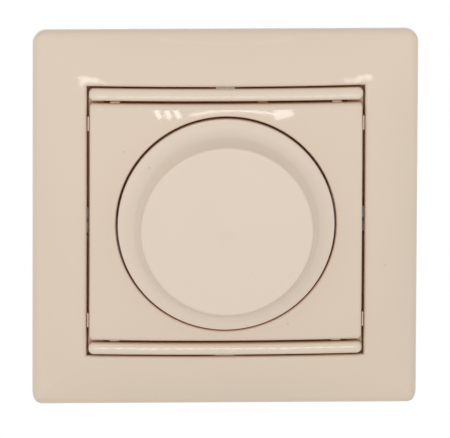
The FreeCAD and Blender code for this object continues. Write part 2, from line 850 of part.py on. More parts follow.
def make_spindle_bushing():
    body = new_body("spindle_bushing")
    inner_face = "(-sink_thickness - case_wall)"
    disc(body, "bushing_flange", f"{inner_face} - flange_thickness", "flange_thickness")
    disc(body, "bushing_radius", inner_face, f"bushing_front - {inner_face}")
    rounded(body, lambda e: e.BoundBox.ZMin > number("bushing_front") - NEAR, "spindle_round")
    disc_cut(body, "spindle_radius + running_gap", f"{inner_face} - flange_thickness",
             f"bushing_front - {inner_face} + flange_thickness")
    keep(body, "spindle_bushing")


def make_spindle_nut():
    body = new_body("spindle_nut")
    seat = f"({FLOOR_TOP} + washer_thickness)"
    hexagon = sketch_at(body, "XY", seat)
    corner_radius = "(nut_width / sqrt(3))"
    outline(hexagon, [(f"{corner_radius} * cos({60 * i})", f"{corner_radius} * sin({60 * i})")
                      for i in range(6)])
    pad(body, hexagon, "nut_thickness")
    shoulder = sketch_at(body, "XZ", "0")
    outline(shoulder, [
        ("nut_width / 2", f"{seat} + nut_thickness"),
        (f"{corner_radius} + nut_chamfer", f"{seat} + nut_thickness - nut_chamfer"),
        (f"{corner_radius} + nut_chamfer", f"{seat} + nut_thickness + nut_chamfer"),
        ("nut_width / 2", f"{seat} + nut_thickness + nut_chamfer"),
    ])
    turned(body, shoulder, adds=False)
    disc_cut(body, "bushing_radius + fit_gap", seat, "nut_thickness")
    keep(body, "spindle_nut")


def make_lock_washer():
    body = new_body("lock_washer")
    ring = sketch_at(body, "XY", FLOOR_TOP)
    circle(ring, "washer_radius")
    circle(ring, "bushing_radius + thread_gap")
    pad(body, ring, "washer_thickness")
    notch = sketch_at(body, "XY", f"{FLOOR_TOP} + washer_thickness")
    rectangle(notch, "washer_radius / 2", "washer_tooth", "bushing_radius")
    tooth_gap = pocket(body, notch, "washer_thickness")
    around(body, [tooth_gap], "washer_teeth", ring, False)
    keep(body, "lock_washer")


# Support plate and heat sink


def make_support_plate():
    body = new_body("support_plate")
    block(body, "support_width", "support_width", "0", "support_thickness", corner="support_corner")
    disc_cut(body, "bushing_radius + thread_gap", "0", "support_thickness")
    for side in ("", "-"):
        slot = sketch_at(body, "XY", "support_thickness")
        stadium(slot, "slot_width", "slot_length", "0", f"{side}box_screw_spacing / 2")
        pocket(body, slot, "support_thickness")
        disc_cut(body, "claw_screw_radius + claw_clearance", "0", "support_thickness",
                 f"{side}claw_screw_place")
        for up in ("", "-"):
            block_cut(body, "claw_thickness + 2 * claw_clearance", "claw_ear + 2 * claw_clearance",
                      "0", "support_thickness", f"{side}(claw_place + claw_thickness / 2)",
                      f"{up}(claw_width - claw_ear) / 2")
            disc_cut(body, "housing_screw_head + fit_gap", "support_thickness / 2",
                     "support_thickness / 2", f"{side}post_place", f"{up}post_place")
            disc_cut(body, "housing_screw_radius + fit_gap", "0", "support_thickness / 2",
                     f"{side}post_place", f"{up}post_place")
    keep(body, "support_plate")


def make_heat_sink():
    body = new_body("heat_sink")
    sheet_outline = sketch_at(body, "XY", "-sink_thickness")
    cut_square(sheet_outline, f"{INNER_WIDTH} - 2 * sink_gap", INNER_CHAMFER)
    pad(body, sheet_outline, "sink_thickness")
    block(body, "tab_width", "sink_thickness", "-sink_thickness - tab_length",
          "tab_length + sink_thickness / 2", "0", f"{TAB_FACE} + sink_thickness / 2")
    bend_place = number(f"{TAB_FACE}")
    rounded(body, lambda e: e.BoundBox.YLength < NEAR and e.BoundBox.ZLength < NEAR
            and abs(e.BoundBox.YMin - bend_place) < NEAR
            and abs(e.BoundBox.ZMin - number("-sink_thickness")) < NEAR, "tab_bend")
    disc_cut(body, "bushing_radius + thread_gap", "-sink_thickness", "sink_thickness")
    for side in ("", "-"):
        for up in ("", "-"):
            disc_cut(body, "housing_screw_radius + fit_gap", "-sink_thickness", "sink_thickness",
                     f"{side}post_place", f"{up}post_place")
    hole = sketch_at(body, "XZ", f"-({TAB_FACE} + sink_thickness)")
    circle(hole, "triac_screw + fit_gap", "0", TRIAC_HOLE)
    pocket(body, hole, "sink_thickness + mica_thickness", forward=True)
    keep(body, "heat_sink")


def make_housing_screws():
    body = new_body("housing_screws")
    for side in ("", "-"):
        for up in ("", "-"):
            place = (f"{side}post_place", f"{up}post_place")
            disc(body, "housing_screw_head", "support_thickness / 2", "support_thickness / 2", *place)
            disc(body, "housing_screw_radius", "-housing_screw_length",
                 "housing_screw_length + support_thickness / 2", *place)
            block_cut(body, "3 * housing_screw_head", "screw_slot_width",
                      "support_thickness - sunk_slot_depth", "sunk_slot_depth", *place)
    keep(body, "housing_screws")


# Rear housing


def make_rear_housing():
    body = new_body("rear_housing")
    shell = sketch_at(body, "XY", "-housing_depth")
    cut_square(shell, "housing_width", "housing_chamfer")
    pad(body, shell, "housing_depth")
    inside = sketch_at(body, "XY", "0")
    cut_square(inside, INNER_WIDTH, INNER_CHAMFER)
    pocket(body, inside, "housing_depth - housing_wall")
    rounded(body, lambda e: e.BoundBox.ZMax < number("-housing_depth") + NEAR, "housing_round")
    post = disc(body, "post_radius", "-housing_depth + housing_wall / 2",
                "housing_depth - housing_wall / 2 - sink_thickness", "post_place", "post_place")
    around(body, [post], "4", shell, True)
    bore = disc_cut(body, "housing_screw_radius + fit_gap", "-housing_screw_length - slide_gap",
                    "housing_screw_length", "post_place", "post_place")
    around(body, [bore], "4", shell, False)
    rest_place = f"{INNER_WIDTH} / 2 - rest_rib / 2"
    for x, y, across, up in ((rest_place, "0", "rest_rib + housing_wall", "rest_length"),
                             (f"-({rest_place})", "0", "rest_rib + housing_wall", "rest_length"),
                             ("0", rest_place, "rest_length", "rest_rib + housing_wall")):
        block(body, across, up, "-housing_depth + housing_wall / 2",
              f"{BOARD_REAR} + housing_depth - housing_wall / 2", x, y)
    vent = sketch_at(body, "XY", INNER_REAR)
    stadium(vent, "vent_width", "vent_length", "0", "vent_place", flat=True)
    first_vent = pocket(body, vent, "housing_wall")
    along(body, [first_vent], vent, "V_Axis", "vent_pitch", "vent_count", False)
    hole = disc_cut(body, "terminal_head + claw_clearance", "-housing_depth", "housing_wall",
                    "-terminal_pitch", CLAMP_Y)
    along(body, [hole], shell, "H_Axis", "terminal_pitch", "3", False)
    entry = sketch_at(body, "XZ", "housing_width / 2")
    rectangle(entry, "wire_entry", "wire_entry", "-terminal_pitch", WIRE_Z)
    way_in = pocket(body, entry, "housing_wall")
    along(body, [way_in], entry, "H_Axis", "terminal_pitch", "3", False)
    keep(body, "rear_housing")


# Potentiometer


def make_pot_case():
    body = new_body("potentiometer_case")
    block(body, "case_width", "case_width", POT_REAR, "pot_depth", corner="case_corner")
    disc_cut(body, "track_radius + case_wall", POT_REAR, "pot_depth - case_wall")
    disc_cut(body, "bushing_radius + fit_gap", "-sink_thickness - case_wall", "case_wall")
    keep(body, "potentiometer_case")


def make_resistive_track():
    body = new_body("resistive_track")
    disc(body, "track_radius + case_wall - fit_gap", POT_REAR, "track_thickness")
    disc_cut(body, "spindle_radius + case_bore_gap", POT_REAR, "track_thickness")
    block_cut(body, "track_gap", "track_radius", f"{POT_REAR} + track_thickness / 2",
              "track_thickness", "0", "-track_radius")
    keep(body, "resistive_track")


def make_wiper_rotor():
    body = new_body("wiper_rotor")
    disc(body, "rotor_radius", f"{ROTOR_FRONT} - rotor_thickness", "rotor_thickness")
    bore = sketch_at(body, "XY", ROTOR_FRONT)
    flatted(bore, "spindle_radius + running_gap", "spindle_radius - spindle_flat + running_gap")
    pocket(body, bore, "rotor_thickness")
    keep(body, "wiper_rotor")


def make_wiper_contact():
    body = new_body("wiper_contact")
    front = f"({ROTOR_FRONT} - rotor_thickness)"
    ring = sketch_at(body, "XY", f"{front} - wiper_thickness")
    circle(ring, "track_radius")
    circle(ring, "wiper_hole")
    pad(body, ring, "wiper_thickness")
    tip = f"({POT_REAR} + track_thickness + slide_gap)"
    for side in ("", "-"):
        block(body, "wiper_finger", "wiper_finger", tip, f"{front} - {tip} - wiper_thickness / 2",
              f"{side}wiper_place")
    keep(body, "wiper_contact")


# Push switch behind the potentiometer


def make_switch_case():
    body = new_body("switch_case")
    cover_rear = f"({POT_REAR} - switch_floor)"
    block(body, "case_width", "case_width", BOARD_FRONT, f"{cover_rear} - {BOARD_FRONT}",
          corner="case_corner")
    block_cut(body, "case_width - 2 * case_wall", "case_width - 2 * case_wall", SWITCH_FLOOR,
              f"{cover_rear} - {SWITCH_FLOOR}")
    keep(body, "switch_case")


def make_switch_cover():
    body = new_body("switch_cover")
    block(body, "case_width", "case_width", f"{POT_REAR} - switch_floor", "switch_floor",
          corner="case_corner")
    disc_cut(body, "spindle_radius + case_bore_gap", f"{POT_REAR} - switch_floor", "switch_floor")
    keep(body, "switch_cover")


def make_switch_plunger():
    body = new_body("switch_plunger")
    disc(body, "plunger_collar", f"{COLLAR_FRONT} - collar_thickness", "collar_thickness")
    disc(body, "spindle_radius", COLLAR_FRONT, f"{SPINDLE_REAR} - slide_gap - {COLLAR_FRONT}")
    disc(body, "plunger_stem", f"{SWITCH_FLOOR} + push_travel + end_gap",
         f"{COLLAR_FRONT} - {SWITCH_FLOOR} - push_travel - end_gap")
    keep(body, "switch_plunger")


def make_return_spring():
    body = new_body("return_spring")
    wire = sketch_at(body, "XZ", "0")
    rest_height = f"({COLLAR_FRONT} - collar_thickness - {SWITCH_FLOOR} - spring_wire - 2 * fit_gap)"
    circle(wire, "spring_wire / 2", "spring_radius", f"{SWITCH_FLOOR} + spring_wire / 2 + fit_gap")
    doc.recompute()
    coil = body.newObject("PartDesign::AdditiveHelix", "coil")
    coil.Profile = wire
    coil.ReferenceAxis = (wire, ["V_Axis"])
    coil.Mode = "height-turns-angle"
    bind(coil, "Height", rest_height)
    bind(coil, "Turns", "spring_turns")
    doc.recompute()
    keep(body, "return_spring")


def make_switch_blade():
    body = new_body("switch_blade")
    rear = f"({SWITCH_FLOOR} + contact_height + contact_gap + contact_height)"
    block(body, "blade_length", "blade_width", rear, "blade_thickness", "0", "blade_place")
    disc(body, "contact_radius", f"{rear} - contact_height", "contact_height",
         "blade_length / 2 - contact_radius", "blade_place")
    keep(body, "switch_blade")


def make_fixed_contacts():
    body = new_body("fixed_contacts")
    disc(body, "contact_radius", SWITCH_FLOOR, "contact_height",
         "blade_length / 2 - contact_radius", "blade_place")
    block(body, "blade_width", "blade_width", SWITCH_FLOOR,
          "contact_height * 2 + contact_gap - fit_gap * 2", "-blade_length / 2 + blade_width / 2",
          "blade_place")
    keep(body, "fixed_contacts")


# Circuit board and what it carries


def make_circuit_board():
    body = new_body("circuit_board")
    base = sketch_at(body, "XY", BOARD_REAR)
    cut_square(base, "board_width", "board_chamfer")
    pad(body, base, "board_thickness")
    keep(body, "circuit_board")


def make_choke():
    core = new_body("choke_core")
    height = f"({BOARD_FRONT} + choke_height)"
    cylinder_across(core, "core_radius", "core_length / 2", "core_length", "-choke_place", height)
    keep(core, "choke_core")
    winding = new_body("choke_winding")
    coil = sketch_at(winding, "XZ", "-winding_length / 2")
    circle(coil, "winding_radius", "-choke_place", height)
    circle(coil, "core_radius + fit_gap", "-choke_place", height)
    pad(winding, coil, "winding_length")
    for side in ("", "-"):
        disc(winding, "lead_radius", BOARD_FRONT,
             "choke_height - (winding_radius + core_radius) / 2", "-choke_place",
             f"{side}(winding_length / 2 - lead_bend)")
    keep(winding, "choke_winding")


def make_capacitors():
    large = new_body("suppression_capacitor")
    block(large, "capacitor_width", "capacitor_depth", BOARD_FRONT, "capacitor_height",
          "0", "-capacitor_place", corner="capacitor_corner")
    keep(large, "suppression_capacitor")
    small = new_body("timing_capacitor")
    block(small, "small_capacitor_width", "small_capacitor_depth", BOARD_FRONT, "small_capacitor_height",
          "-small_capacitor_place", "small_capacitor_row", corner="small_capacitor_corner")
    keep(small, "timing_capacitor")


def axial_part(body, radius, length, x, y):
    """Round component that lies along x on the board, with its two bent leads."""
    axis = f"({BOARD_FRONT} + {radius} + lead_radius)"
    cylinder_along_x(body, radius, f"{x} - ({length}) / 2", length, y, axis)
    cylinder_along_x(body, "crossing_lead", f"{x} - ({length}) / 2 - lead_bend",
                     f"({length}) + 2 * lead_bend", y, axis)
    for side in ("+", "-"):
        disc(body, "lead_radius", BOARD_FRONT, f"{radius} + 2 * lead_radius",
             f"{x} {side} (({length}) / 2 + lead_bend)", y)


def make_axial_parts():
    resistors = new_body("resistors")
    for row in ("resistor_row", "resistor_row - resistor_pitch"):
        axial_part(resistors, "resistor_radius", "resistor_length", "resistor_place", row)
    keep(resistors, "resistors")
    diode = new_body("trigger_diode")
    axial_part(diode, "diode_radius", "diode_length", "-diode_place", "-diode_row")
    keep(diode, "trigger_diode")


def make_fuse():
    height = f"({BOARD_FRONT} + fuse_height)"
    glass = new_body("fuse_glass")
    tube = sketch_at(glass, "XZ", "-fuse_length / 2 + cap_wall")
    circle(tube, "fuse_radius", "fuse_place", height)
    circle(tube, "fuse_radius - fuse_wall", "fuse_place", height)
    pad(glass, tube, "fuse_length - 2 * cap_wall")
    keep(glass, "fuse_glass")
    caps = new_body("fuse_caps")
    outer = "fuse_radius + fit_gap + cap_wall"
    cylinder_across(caps, outer, "fuse_length / 2", "fuse_length", "fuse_place", height)
    hollow = sketch_at(caps, "XZ", "-fuse_length / 2 + cap_wall")
    circle(hollow, "fuse_radius + fit_gap", "fuse_place", height)
    pocket(caps, hollow, "fuse_length - 2 * cap_wall", forward=True)
    middle = sketch_at(caps, "XZ", "-fuse_length / 2 + cap_length")
    rectangle(middle, "fuse_radius * 3", "fuse_radius * 3", "fuse_place", height)
    pocket(caps, middle, "fuse_length - 2 * cap_length", forward=True)
    keep(caps, "fuse_caps")
    clips = new_body("fuse_clips")
    arm = "(fuse_radius + fit_gap + cap_wall)"
    for start in ("fuse_length / 2 - (cap_length - fuse_clip_width) / 2",
                  "-fuse_length / 2 + (cap_length - fuse_clip_width) / 2 + fuse_clip_width"):
        bow = sketch_at(clips, "XZ", f"-({start})")
        outer_arm = f"({arm} + fuse_clip_thickness)"
        top = f"{height} + fuse_clip_rise"
        seat = f"{BOARD_FRONT} + fuse_clip_thickness"
        outline(bow, [
            (f"fuse_place - {outer_arm}", BOARD_FRONT),
            (f"fuse_place + {outer_arm}", BOARD_FRONT),
            (f"fuse_place + {outer_arm}", top),
            (f"fuse_place + {arm}", top),
            (f"fuse_place + {arm}", seat),
            (f"fuse_place - {arm}", seat),
            (f"fuse_place - {arm}", top),
            (f"fuse_place - {outer_arm}", top),
        ])
        pad(clips, bow, "fuse_clip_width")
    keep(clips, "fuse_clips")


# Triac, screwed flat to the heat sink's tab with a mica pad between


def make_triac():
    body = new_body("triac")
    back = f"({TAB_FACE} - mica_thickness)"
    block(body, "triac_width", "triac_depth", f"{TRIAC_START} - triac_length", "triac_length",
          "0", f"{back} - triac_depth / 2")
    hole = sketch_at(body, "XZ", f"-{back}")
    circle(hole, "triac_screw + fit_gap", "0", TRIAC_HOLE)
    pocket(body, hole, "triac_depth", forward=True)
    for x in ("-triac_lead_pitch", "0", "triac_lead_pitch"):
        block(body, "triac_lead_width", "lead_radius", BOARD_FRONT,
              f"{TRIAC_START} - triac_length - {BOARD_FRONT}", x, f"{back} - triac_depth / 2")
    keep(body, "triac")
    pad_body = new_body("mica_pad")
    block(pad_body, "triac_width + 2 * mica_thickness", "mica_thickness",
          f"{TRIAC_START} - triac_length - mica_thickness", "triac_length + 2 * mica_thickness",
          "0", f"{TAB_FACE} - mica_thickness / 2")
    mica_hole = sketch_at(pad_body, "XZ", f"-{TAB_FACE}")
    circle(mica_hole, "triac_screw + fit_gap", "0", TRIAC_HOLE)
    pocket(pad_body, mica_hole, "mica_thickness", forward=True)
    keep(pad_body, "mica_pad")
    screw = new_body("triac_screw")
    seat = f"({back} - triac_depth)"
    cylinder_across(screw, "triac_screw_head", seat, "triac_screw", "0", TRIAC_HOLE)
    cylinder_across(screw, "triac_screw", f"{TAB_FACE} + sink_thickness",
                    f"{TAB_FACE} + sink_thickness - {seat}", "0", TRIAC_HOLE)
    keep(screw, "triac_screw")


# Terminals, with wires from below and screws from behind


def make_terminals():
    block_body = new_body("terminal_block")
    block(block_body, "terminal_block_width", "terminal_block_depth", INNER_REAR,
          f"{BOARD_REAR} - {INNER_REAR}", "0", TERMINAL_Y)
    front_face = f"({TERMINAL_Y} - terminal_block_depth / 2)"
    chamber = sketch_at(block_body, "XZ", f"-{front_face}")
    rectangle(chamber, "clamp_width + 2 * fit_gap", "clamp_height + 2 * fit_gap", "-terminal_pitch", WIRE_Z)
    first = pocket(block_body, chamber, "clamp_depth + fit_gap")
    along(block_body, [first], chamber, "H_Axis", "terminal_pitch", "3", False)
    driver_hole = disc_cut(block_body, "terminal_head + fit_gap", INNER_REAR,
                           f"{CLAMP_REAR} - {INNER_REAR}", "-terminal_pitch", CLAMP_Y)
    along(block_body, [driver_hole], chamber, "H_Axis", "terminal_pitch", "3", False)
    keep(block_body, "terminal_block")

    clamps = new_body("terminal_clamps")
    base = sketch_at(clamps, "XY", CLAMP_REAR)
    rectangle(base, "clamp_width", "clamp_depth", "-terminal_pitch", CLAMP_Y)
    cage = pad(clamps, base, "clamp_height")
    way = sketch_at(clamps, "XZ", f"-({CLAMP_Y} - clamp_depth / 2)")
    rectangle(way, "clamp_width - 2 * clamp_wall", "clamp_height - 2 * clamp_wall",
              "-terminal_pitch", WIRE_Z)
    opened = pocket(clamps, way, "clamp_depth")
    bore = disc_cut(clamps, "terminal_screw + fit_gap", CLAMP_REAR, "clamp_wall",
                    "-terminal_pitch", CLAMP_Y)
    along(clamps, [cage, opened, bore], base, "H_Axis", "terminal_pitch", "3", True)
    keep(clamps, "terminal_clamps")

    screws = new_body("terminal_screws")
    foot = sketch_at(screws, "XY", f"{CLAMP_REAR} - terminal_head_height")
    circle(foot, "terminal_head", "-terminal_pitch", CLAMP_Y)
    head = pad(screws, foot, "terminal_head_height")
    shank = disc(screws, "terminal_screw", CLAMP_REAR, "clamp_height / 3", "-terminal_pitch", CLAMP_Y)
    cross = sketch_at(screws, "XY", f"{CLAMP_REAR} - terminal_head_height")
    rectangle(cross, "terminal_head * 3", "screw_slot_width", "-terminal_pitch", CLAMP_Y)
    slot = pocket(screws, cross, "screw_slot_depth", forward=True)
    along(screws, [head, shank, slot], foot, "H_Axis", "terminal_pitch", "3", True)
    keep(screws, "terminal_screws")


# Claws that grip the wall box, and the screws that spread them


def make_claw(name, side):
    body = new_body(name)
    inner = f"{side}claw_place"
    outer = f"{side}(claw_place + claw_thickness)"
    tip = f"{side}(claw_place + claw_reach)"
    root = f"{side}(claw_place + claw_reach - claw_tooth)"
    block(body, "claw_thickness", "claw_width", "-claw_depth", "claw_depth - claw_clearance",
          f"{side}(claw_place + claw_thickness / 2)")
    foot = sketch_at(body, "XY", "-claw_depth")
    half = "claw_width / 2"
    steps = 2 * int(number("claw_teeth"))
    teeth = [(tip if i % 2 else root, f"-{half} + claw_width * {i} / (2 * claw_teeth)")
             for i in range(steps + 1)]
    way = [(inner, f"-{half}")] + teeth + [(inner, half)]
    outline(foot, way if side == "" else way[::-1])
    pad(body, foot, "claw_thickness")
    block_cut(body, "2 * claw_reach", "claw_slot", "-claw_depth", "claw_depth - claw_bridge",
              f"{side}(claw_place + claw_reach)")
    for up in ("", "-"):
        block(body, "claw_thickness", "claw_ear", "-2 * claw_clearance",
              "2 * claw_clearance + claw_ear_rise", f"{side}(claw_place + claw_thickness / 2)",
              f"{up}(claw_width - claw_ear) / 2")
    keep(body, name)


def make_claw_screw(name, side):
    body = new_body(name)
    place = f"{side}claw_screw_place"
    disc(body, "claw_head_radius", "support_thickness + fit_gap", "claw_head_height", place)
    disc(body, "claw_screw_radius", "-claw_screw_length",
         "claw_screw_length + support_thickness + 2 * fit_gap", place)
    block_cut(body, "claw_head_radius * 3", "screw_slot_width",
              "support_thickness + claw_head_height - screw_slot_depth", "screw_slot_depth + slide_gap",
              place)
    keep(body, name)


make_surround_frame()
make_bar_holder()
make_centre_plate()
make_knob()
make_knob_clip()
make_spindle()
make_spindle_bushing()
make_spindle_nut()
make_lock_washer()
make_support_plate()
make_heat_sink()
make_housing_screws()
make_rear_housing()
make_pot_case()
make_resistive_track()
make_wiper_rotor()
make_wiper_contact()
make_switch_case()
make_switch_cover()
make_switch_plunger()
make_return_spring()
make_switch_blade()
make_fixed_contacts()
make_circuit_board()
make_choke()
make_capacitors()
make_axial_parts()
make_fuse()
make_triac()
make_terminals()
make_claw("claw_right", "")
make_claw("claw_left", "-")
make_claw_screw("claw_screw_right", "")
make_claw_screw("claw_screw_left", "-")

# Checks and output
doc.recompute()
for item in doc.Objects:
    if "Invalid" in item.State or "Error" in item.State:
        raise RuntimeError("%s is %s" % (item.Label, item.State))
os.makedirs("parts", exist_ok=True)
for item in subparts:
    if item.Shape.isNull() or not item.Shape.isValid():
        raise RuntimeError(item.Label + " has no valid shape")
    item.Shape.exportStep("parts/%s.step" % item.Label)
    print(item.Label, len(item.Shape.Solids), round(item.Shape.Volume, 1))
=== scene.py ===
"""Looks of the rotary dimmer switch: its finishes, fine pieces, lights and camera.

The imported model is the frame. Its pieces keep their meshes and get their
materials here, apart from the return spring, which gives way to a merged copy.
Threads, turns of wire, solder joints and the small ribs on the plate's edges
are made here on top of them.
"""

import math

import bmesh
import bpy
from bpy.props import FloatProperty, FloatVectorProperty, IntProperty, PointerProperty
from bpy.types import Operator, Panel, PropertyGroup
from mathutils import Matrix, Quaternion, Vector


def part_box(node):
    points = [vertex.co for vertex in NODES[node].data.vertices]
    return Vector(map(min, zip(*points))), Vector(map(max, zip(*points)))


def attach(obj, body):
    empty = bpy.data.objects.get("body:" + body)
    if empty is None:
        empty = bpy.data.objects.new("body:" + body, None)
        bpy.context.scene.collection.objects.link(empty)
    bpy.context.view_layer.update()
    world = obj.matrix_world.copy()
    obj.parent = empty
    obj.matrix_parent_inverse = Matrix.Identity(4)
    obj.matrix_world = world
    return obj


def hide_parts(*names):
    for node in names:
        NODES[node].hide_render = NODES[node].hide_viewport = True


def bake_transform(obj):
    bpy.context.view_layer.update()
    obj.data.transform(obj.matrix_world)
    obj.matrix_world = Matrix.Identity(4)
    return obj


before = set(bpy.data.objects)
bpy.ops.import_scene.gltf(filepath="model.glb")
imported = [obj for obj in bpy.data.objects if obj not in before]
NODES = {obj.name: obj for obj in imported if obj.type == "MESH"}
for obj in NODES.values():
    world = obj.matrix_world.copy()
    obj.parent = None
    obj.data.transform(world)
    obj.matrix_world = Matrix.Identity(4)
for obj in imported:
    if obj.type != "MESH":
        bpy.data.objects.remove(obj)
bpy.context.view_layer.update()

bl_info = {
    "name": "Rotary Dimmer Looks",
    "version": (1, 0, 0),
    "blender": (4, 5, 0),
    "location": "View3D > Sidebar > Dimmer",
    "description": "Finishes, fine pieces and stage for a rotary dimmer switch",
    "category": "Object",
}

MM = 0.001
WHITE = (1.0, 1.0, 1.0, 1.0)


# Properties a user would change


class CoverFinish(PropertyGroup):
    """Colours and gloss of the moulded cover set."""

    plate_colour: FloatVectorProperty(
        name="Plate and frame", description="Colour of the frame and the centre plate",
        subtype="COLOR", size=3, min=0.0, max=1.0, default=(0.735, 0.612, 0.495))
    knob_colour: FloatVectorProperty(
        name="Knob", description="Colour of the knob",
        subtype="COLOR", size=3, min=0.0, max=1.0, default=(0.765, 0.645, 0.535))
    # Lighter than the frame's cream; part of this lift is painted highlight on the bars
    bar_colour_and_highlight: FloatVectorProperty(
        name="Bars", description="Colour of the holder ring and its two bars",
        subtype="COLOR", size=3, min=0.0, max=1.0, default=(0.75, 0.635, 0.515))
    mark_colour: FloatVectorProperty(
        name="Marks", description="Colour of dust and fibre marks on the front",
        subtype="COLOR", size=3, min=0.0, max=1.0, default=(0.42, 0.33, 0.26))
    # Painted shade: this brown darkens the mouldings deep in their narrow gaps, where light falls
    # off
    gap_shade_colour: FloatVectorProperty(
        name="Gaps", description="Colour deep in the narrow gaps between the mouldings",
        subtype="COLOR", size=3, min=0.0, max=1.0, default=(0.5, 0.21, 0.07))
    crease_width: FloatProperty(
        name="Crease", description="Width over which the frame's mitred edges are soft",
        subtype="DISTANCE", unit="LENGTH", min=0.0, default=1.2 * MM, precision=5)
    gloss: FloatProperty(
        name="Roughness", description="Roughness of the polished mouldings",
        subtype="FACTOR", min=0.0, max=1.0, default=0.028)
    skin_depth: FloatProperty(
        name="Skin depth", description="Depth of the fine unevenness of the moulded skin",
        subtype="DISTANCE", unit="LENGTH", min=0.0, default=0.0005 * MM, precision=7)


class WireSizes(PropertyGroup):
    """Turns of wire on the choke."""

    wire_radius: FloatProperty(
        name="Wire radius", description="Radius of the lacquered copper wire",
        subtype="DISTANCE", unit="LENGTH", min=0.0, default=0.42 * MM, precision=5)
    layers: IntProperty(
        name="Layers", description="Layers of wire on the core", min=1, max=3, default=2)


class ThreadSizes(PropertyGroup):
    """Screw threads."""

    coarse_pitch: FloatProperty(
        name="Screw pitch", description="Rise of the claw screws' thread in one turn",
        subtype="DISTANCE", unit="LENGTH", min=0.0, default=0.7 * MM, precision=5)
    fine_pitch: FloatProperty(
        name="Bushing pitch", description="Rise of the bushing's thread in one turn",
        subtype="DISTANCE", unit="LENGTH", min=0.0, default=0.75 * MM, precision=5)
    ridge: FloatProperty(
        name="Ridge", description="Size of a thread's ridge across",
        subtype="DISTANCE", unit="LENGTH", min=0.0, default=0.26 * MM, precision=5)


class SolderSizes(PropertyGroup):
    """Solder joints behind the board."""

    foot: FloatProperty(
        name="Foot", description="Radius of a solder joint on the board",
        subtype="DISTANCE", unit="LENGTH", min=0.0, default=0.95 * MM, precision=5)
    height: FloatProperty(
        name="Height", description="Height of a solder joint",
        subtype="DISTANCE", unit="LENGTH", min=0.0, default=0.7 * MM, precision=5)


class StageSetup(PropertyGroup):
    """Camera and lamps."""

    azimuth: FloatProperty(
        name="Azimuth", description="Side angle of the camera, to the right when positive",
        subtype="ANGLE", unit="ROTATION", default=math.radians(-2.2))
    elevation: FloatProperty(
        name="Elevation", description="Height angle of the camera",
        subtype="ANGLE", unit="ROTATION", default=math.radians(14.2))
    roll: FloatProperty(
        name="Roll", description="Turn of the camera about its line of sight",
        subtype="ANGLE", unit="ROTATION", default=math.radians(0.24))
    distance: FloatProperty(
        name="Distance", description="Distance of the camera from the middle of the frame",
        subtype="DISTANCE", unit="LENGTH", min=0.1, default=3.0)
    lens: FloatProperty(
        name="Lens", description="Focal length for a 36 mm wide sensor",
        subtype="DISTANCE_CAMERA", unit="CAMERA", min=1.0, default=1154.0)
    ambient: FloatProperty(
        name="Room light", description="Strength of the light that comes from all round",
        min=0.0, default=0.87)
    key: FloatProperty(
        name="Front lamp", description="Power of the wide lamp in front",
        subtype="POWER", unit="POWER", min=0.0, default=4.8)
    fill: FloatProperty(
        name="Low lamp", description="Power of the wide lamp low on the right",
        subtype="POWER", unit="POWER", min=0.0, default=2.5)


# Nodes


def node(tree, kind, values=None, **settings):
    """New node with its settings and the values or links of its inputs."""
    new = tree.nodes.new(kind)
    for key, value in settings.items():
        setattr(new, key, value)
    for key, value in (values or {}).items():
        if isinstance(value, bpy.types.NodeSocket):
            tree.links.new(value, new.inputs[key])
        else:
            new.inputs[key].default_value = value
    return new


def sums(tree, operation, first, second=0.0, third=0.0, clamp=False):
    """Math node; gives its output."""
    made = node(tree, "ShaderNodeMath", {0: first, 1: second, 2: third},
                operation=operation, use_clamp=clamp)
    return made.outputs[0]


def vectors(tree, operation, values):
    """Vector Math node; gives its number where the operation has one, or else its vector."""
    made = node(tree, "ShaderNodeVectorMath", values, operation=operation)
    return made.outputs["Value" if operation in ("LENGTH", "DOT_PRODUCT") else "Vector"]


def mixed(tree, share, first, second):
    """Mix of two colours; gives the colour."""
    made = node(tree, "ShaderNodeMix", {0: share, 6: first, 7: second}, data_type="RGBA")
    return made.outputs[2]


def mixed_normal(tree, share, first, second):
    """Mix of two normals; gives the normal."""
    made = node(tree, "ShaderNodeMix", {0: share, 4: first, 5: second}, data_type="VECTOR")
    return made.outputs[1]


def mixed_shader(tree, share, first, second):
    """Mix of two shaders; gives the shader."""
    made = node(tree, "ShaderNodeMixShader", {
        0: share, 1: first.outputs[0], 2: second.outputs[0]})
    return made.outputs[0]


def object_place(tree):
    """Place on the piece, in metres."""
    return node(tree, "ShaderNodeTexCoord").outputs["Object"]


def apart(tree, place):
    """The three numbers of a place."""
    return node(tree, "ShaderNodeSeparateXYZ", {0: place}).outputs


def noise(tree, place, scale, detail):
    """Noise pattern; gives its value, which is NOISE_MIDDLE on average."""
    made = node(tree, "ShaderNodeTexNoise", {"Vector": place, "Scale": scale, "Detail": detail})
    return made.outputs["Fac"]


# Shader node groups

FLOAT = "NodeSocketFloat"
COLOUR = "NodeSocketColor"
VECTOR = "NodeSocketVector"
INTEGER = "NodeSocketInt"
FINISH = (("Colour", COLOUR), ("Roughness", FLOAT), ("Height", FLOAT))

NOISE_MIDDLE = 0.5

# Size of the tarnish clouds on metal, and how much duller its lines are
CLOUD_SIZE = 140.0
LINE_ROUGHNESS = 0.18

EFFECTS = {}


def effect(name, inputs, outputs):
    """New shader node group with its sockets; gives the group and what enters it."""
    group = bpy.data.node_groups.new(name, "ShaderNodeTree")
    for label, kind, value in inputs:
        socket = group.interface.new_socket(label, in_out="INPUT", socket_type=kind)
        if value is not None:
            socket.default_value = value
    for label, kind in outputs:
        group.interface.new_socket(label, in_out="OUTPUT", socket_type=kind)
    return group, group.nodes.new("NodeGroupInput").outputs


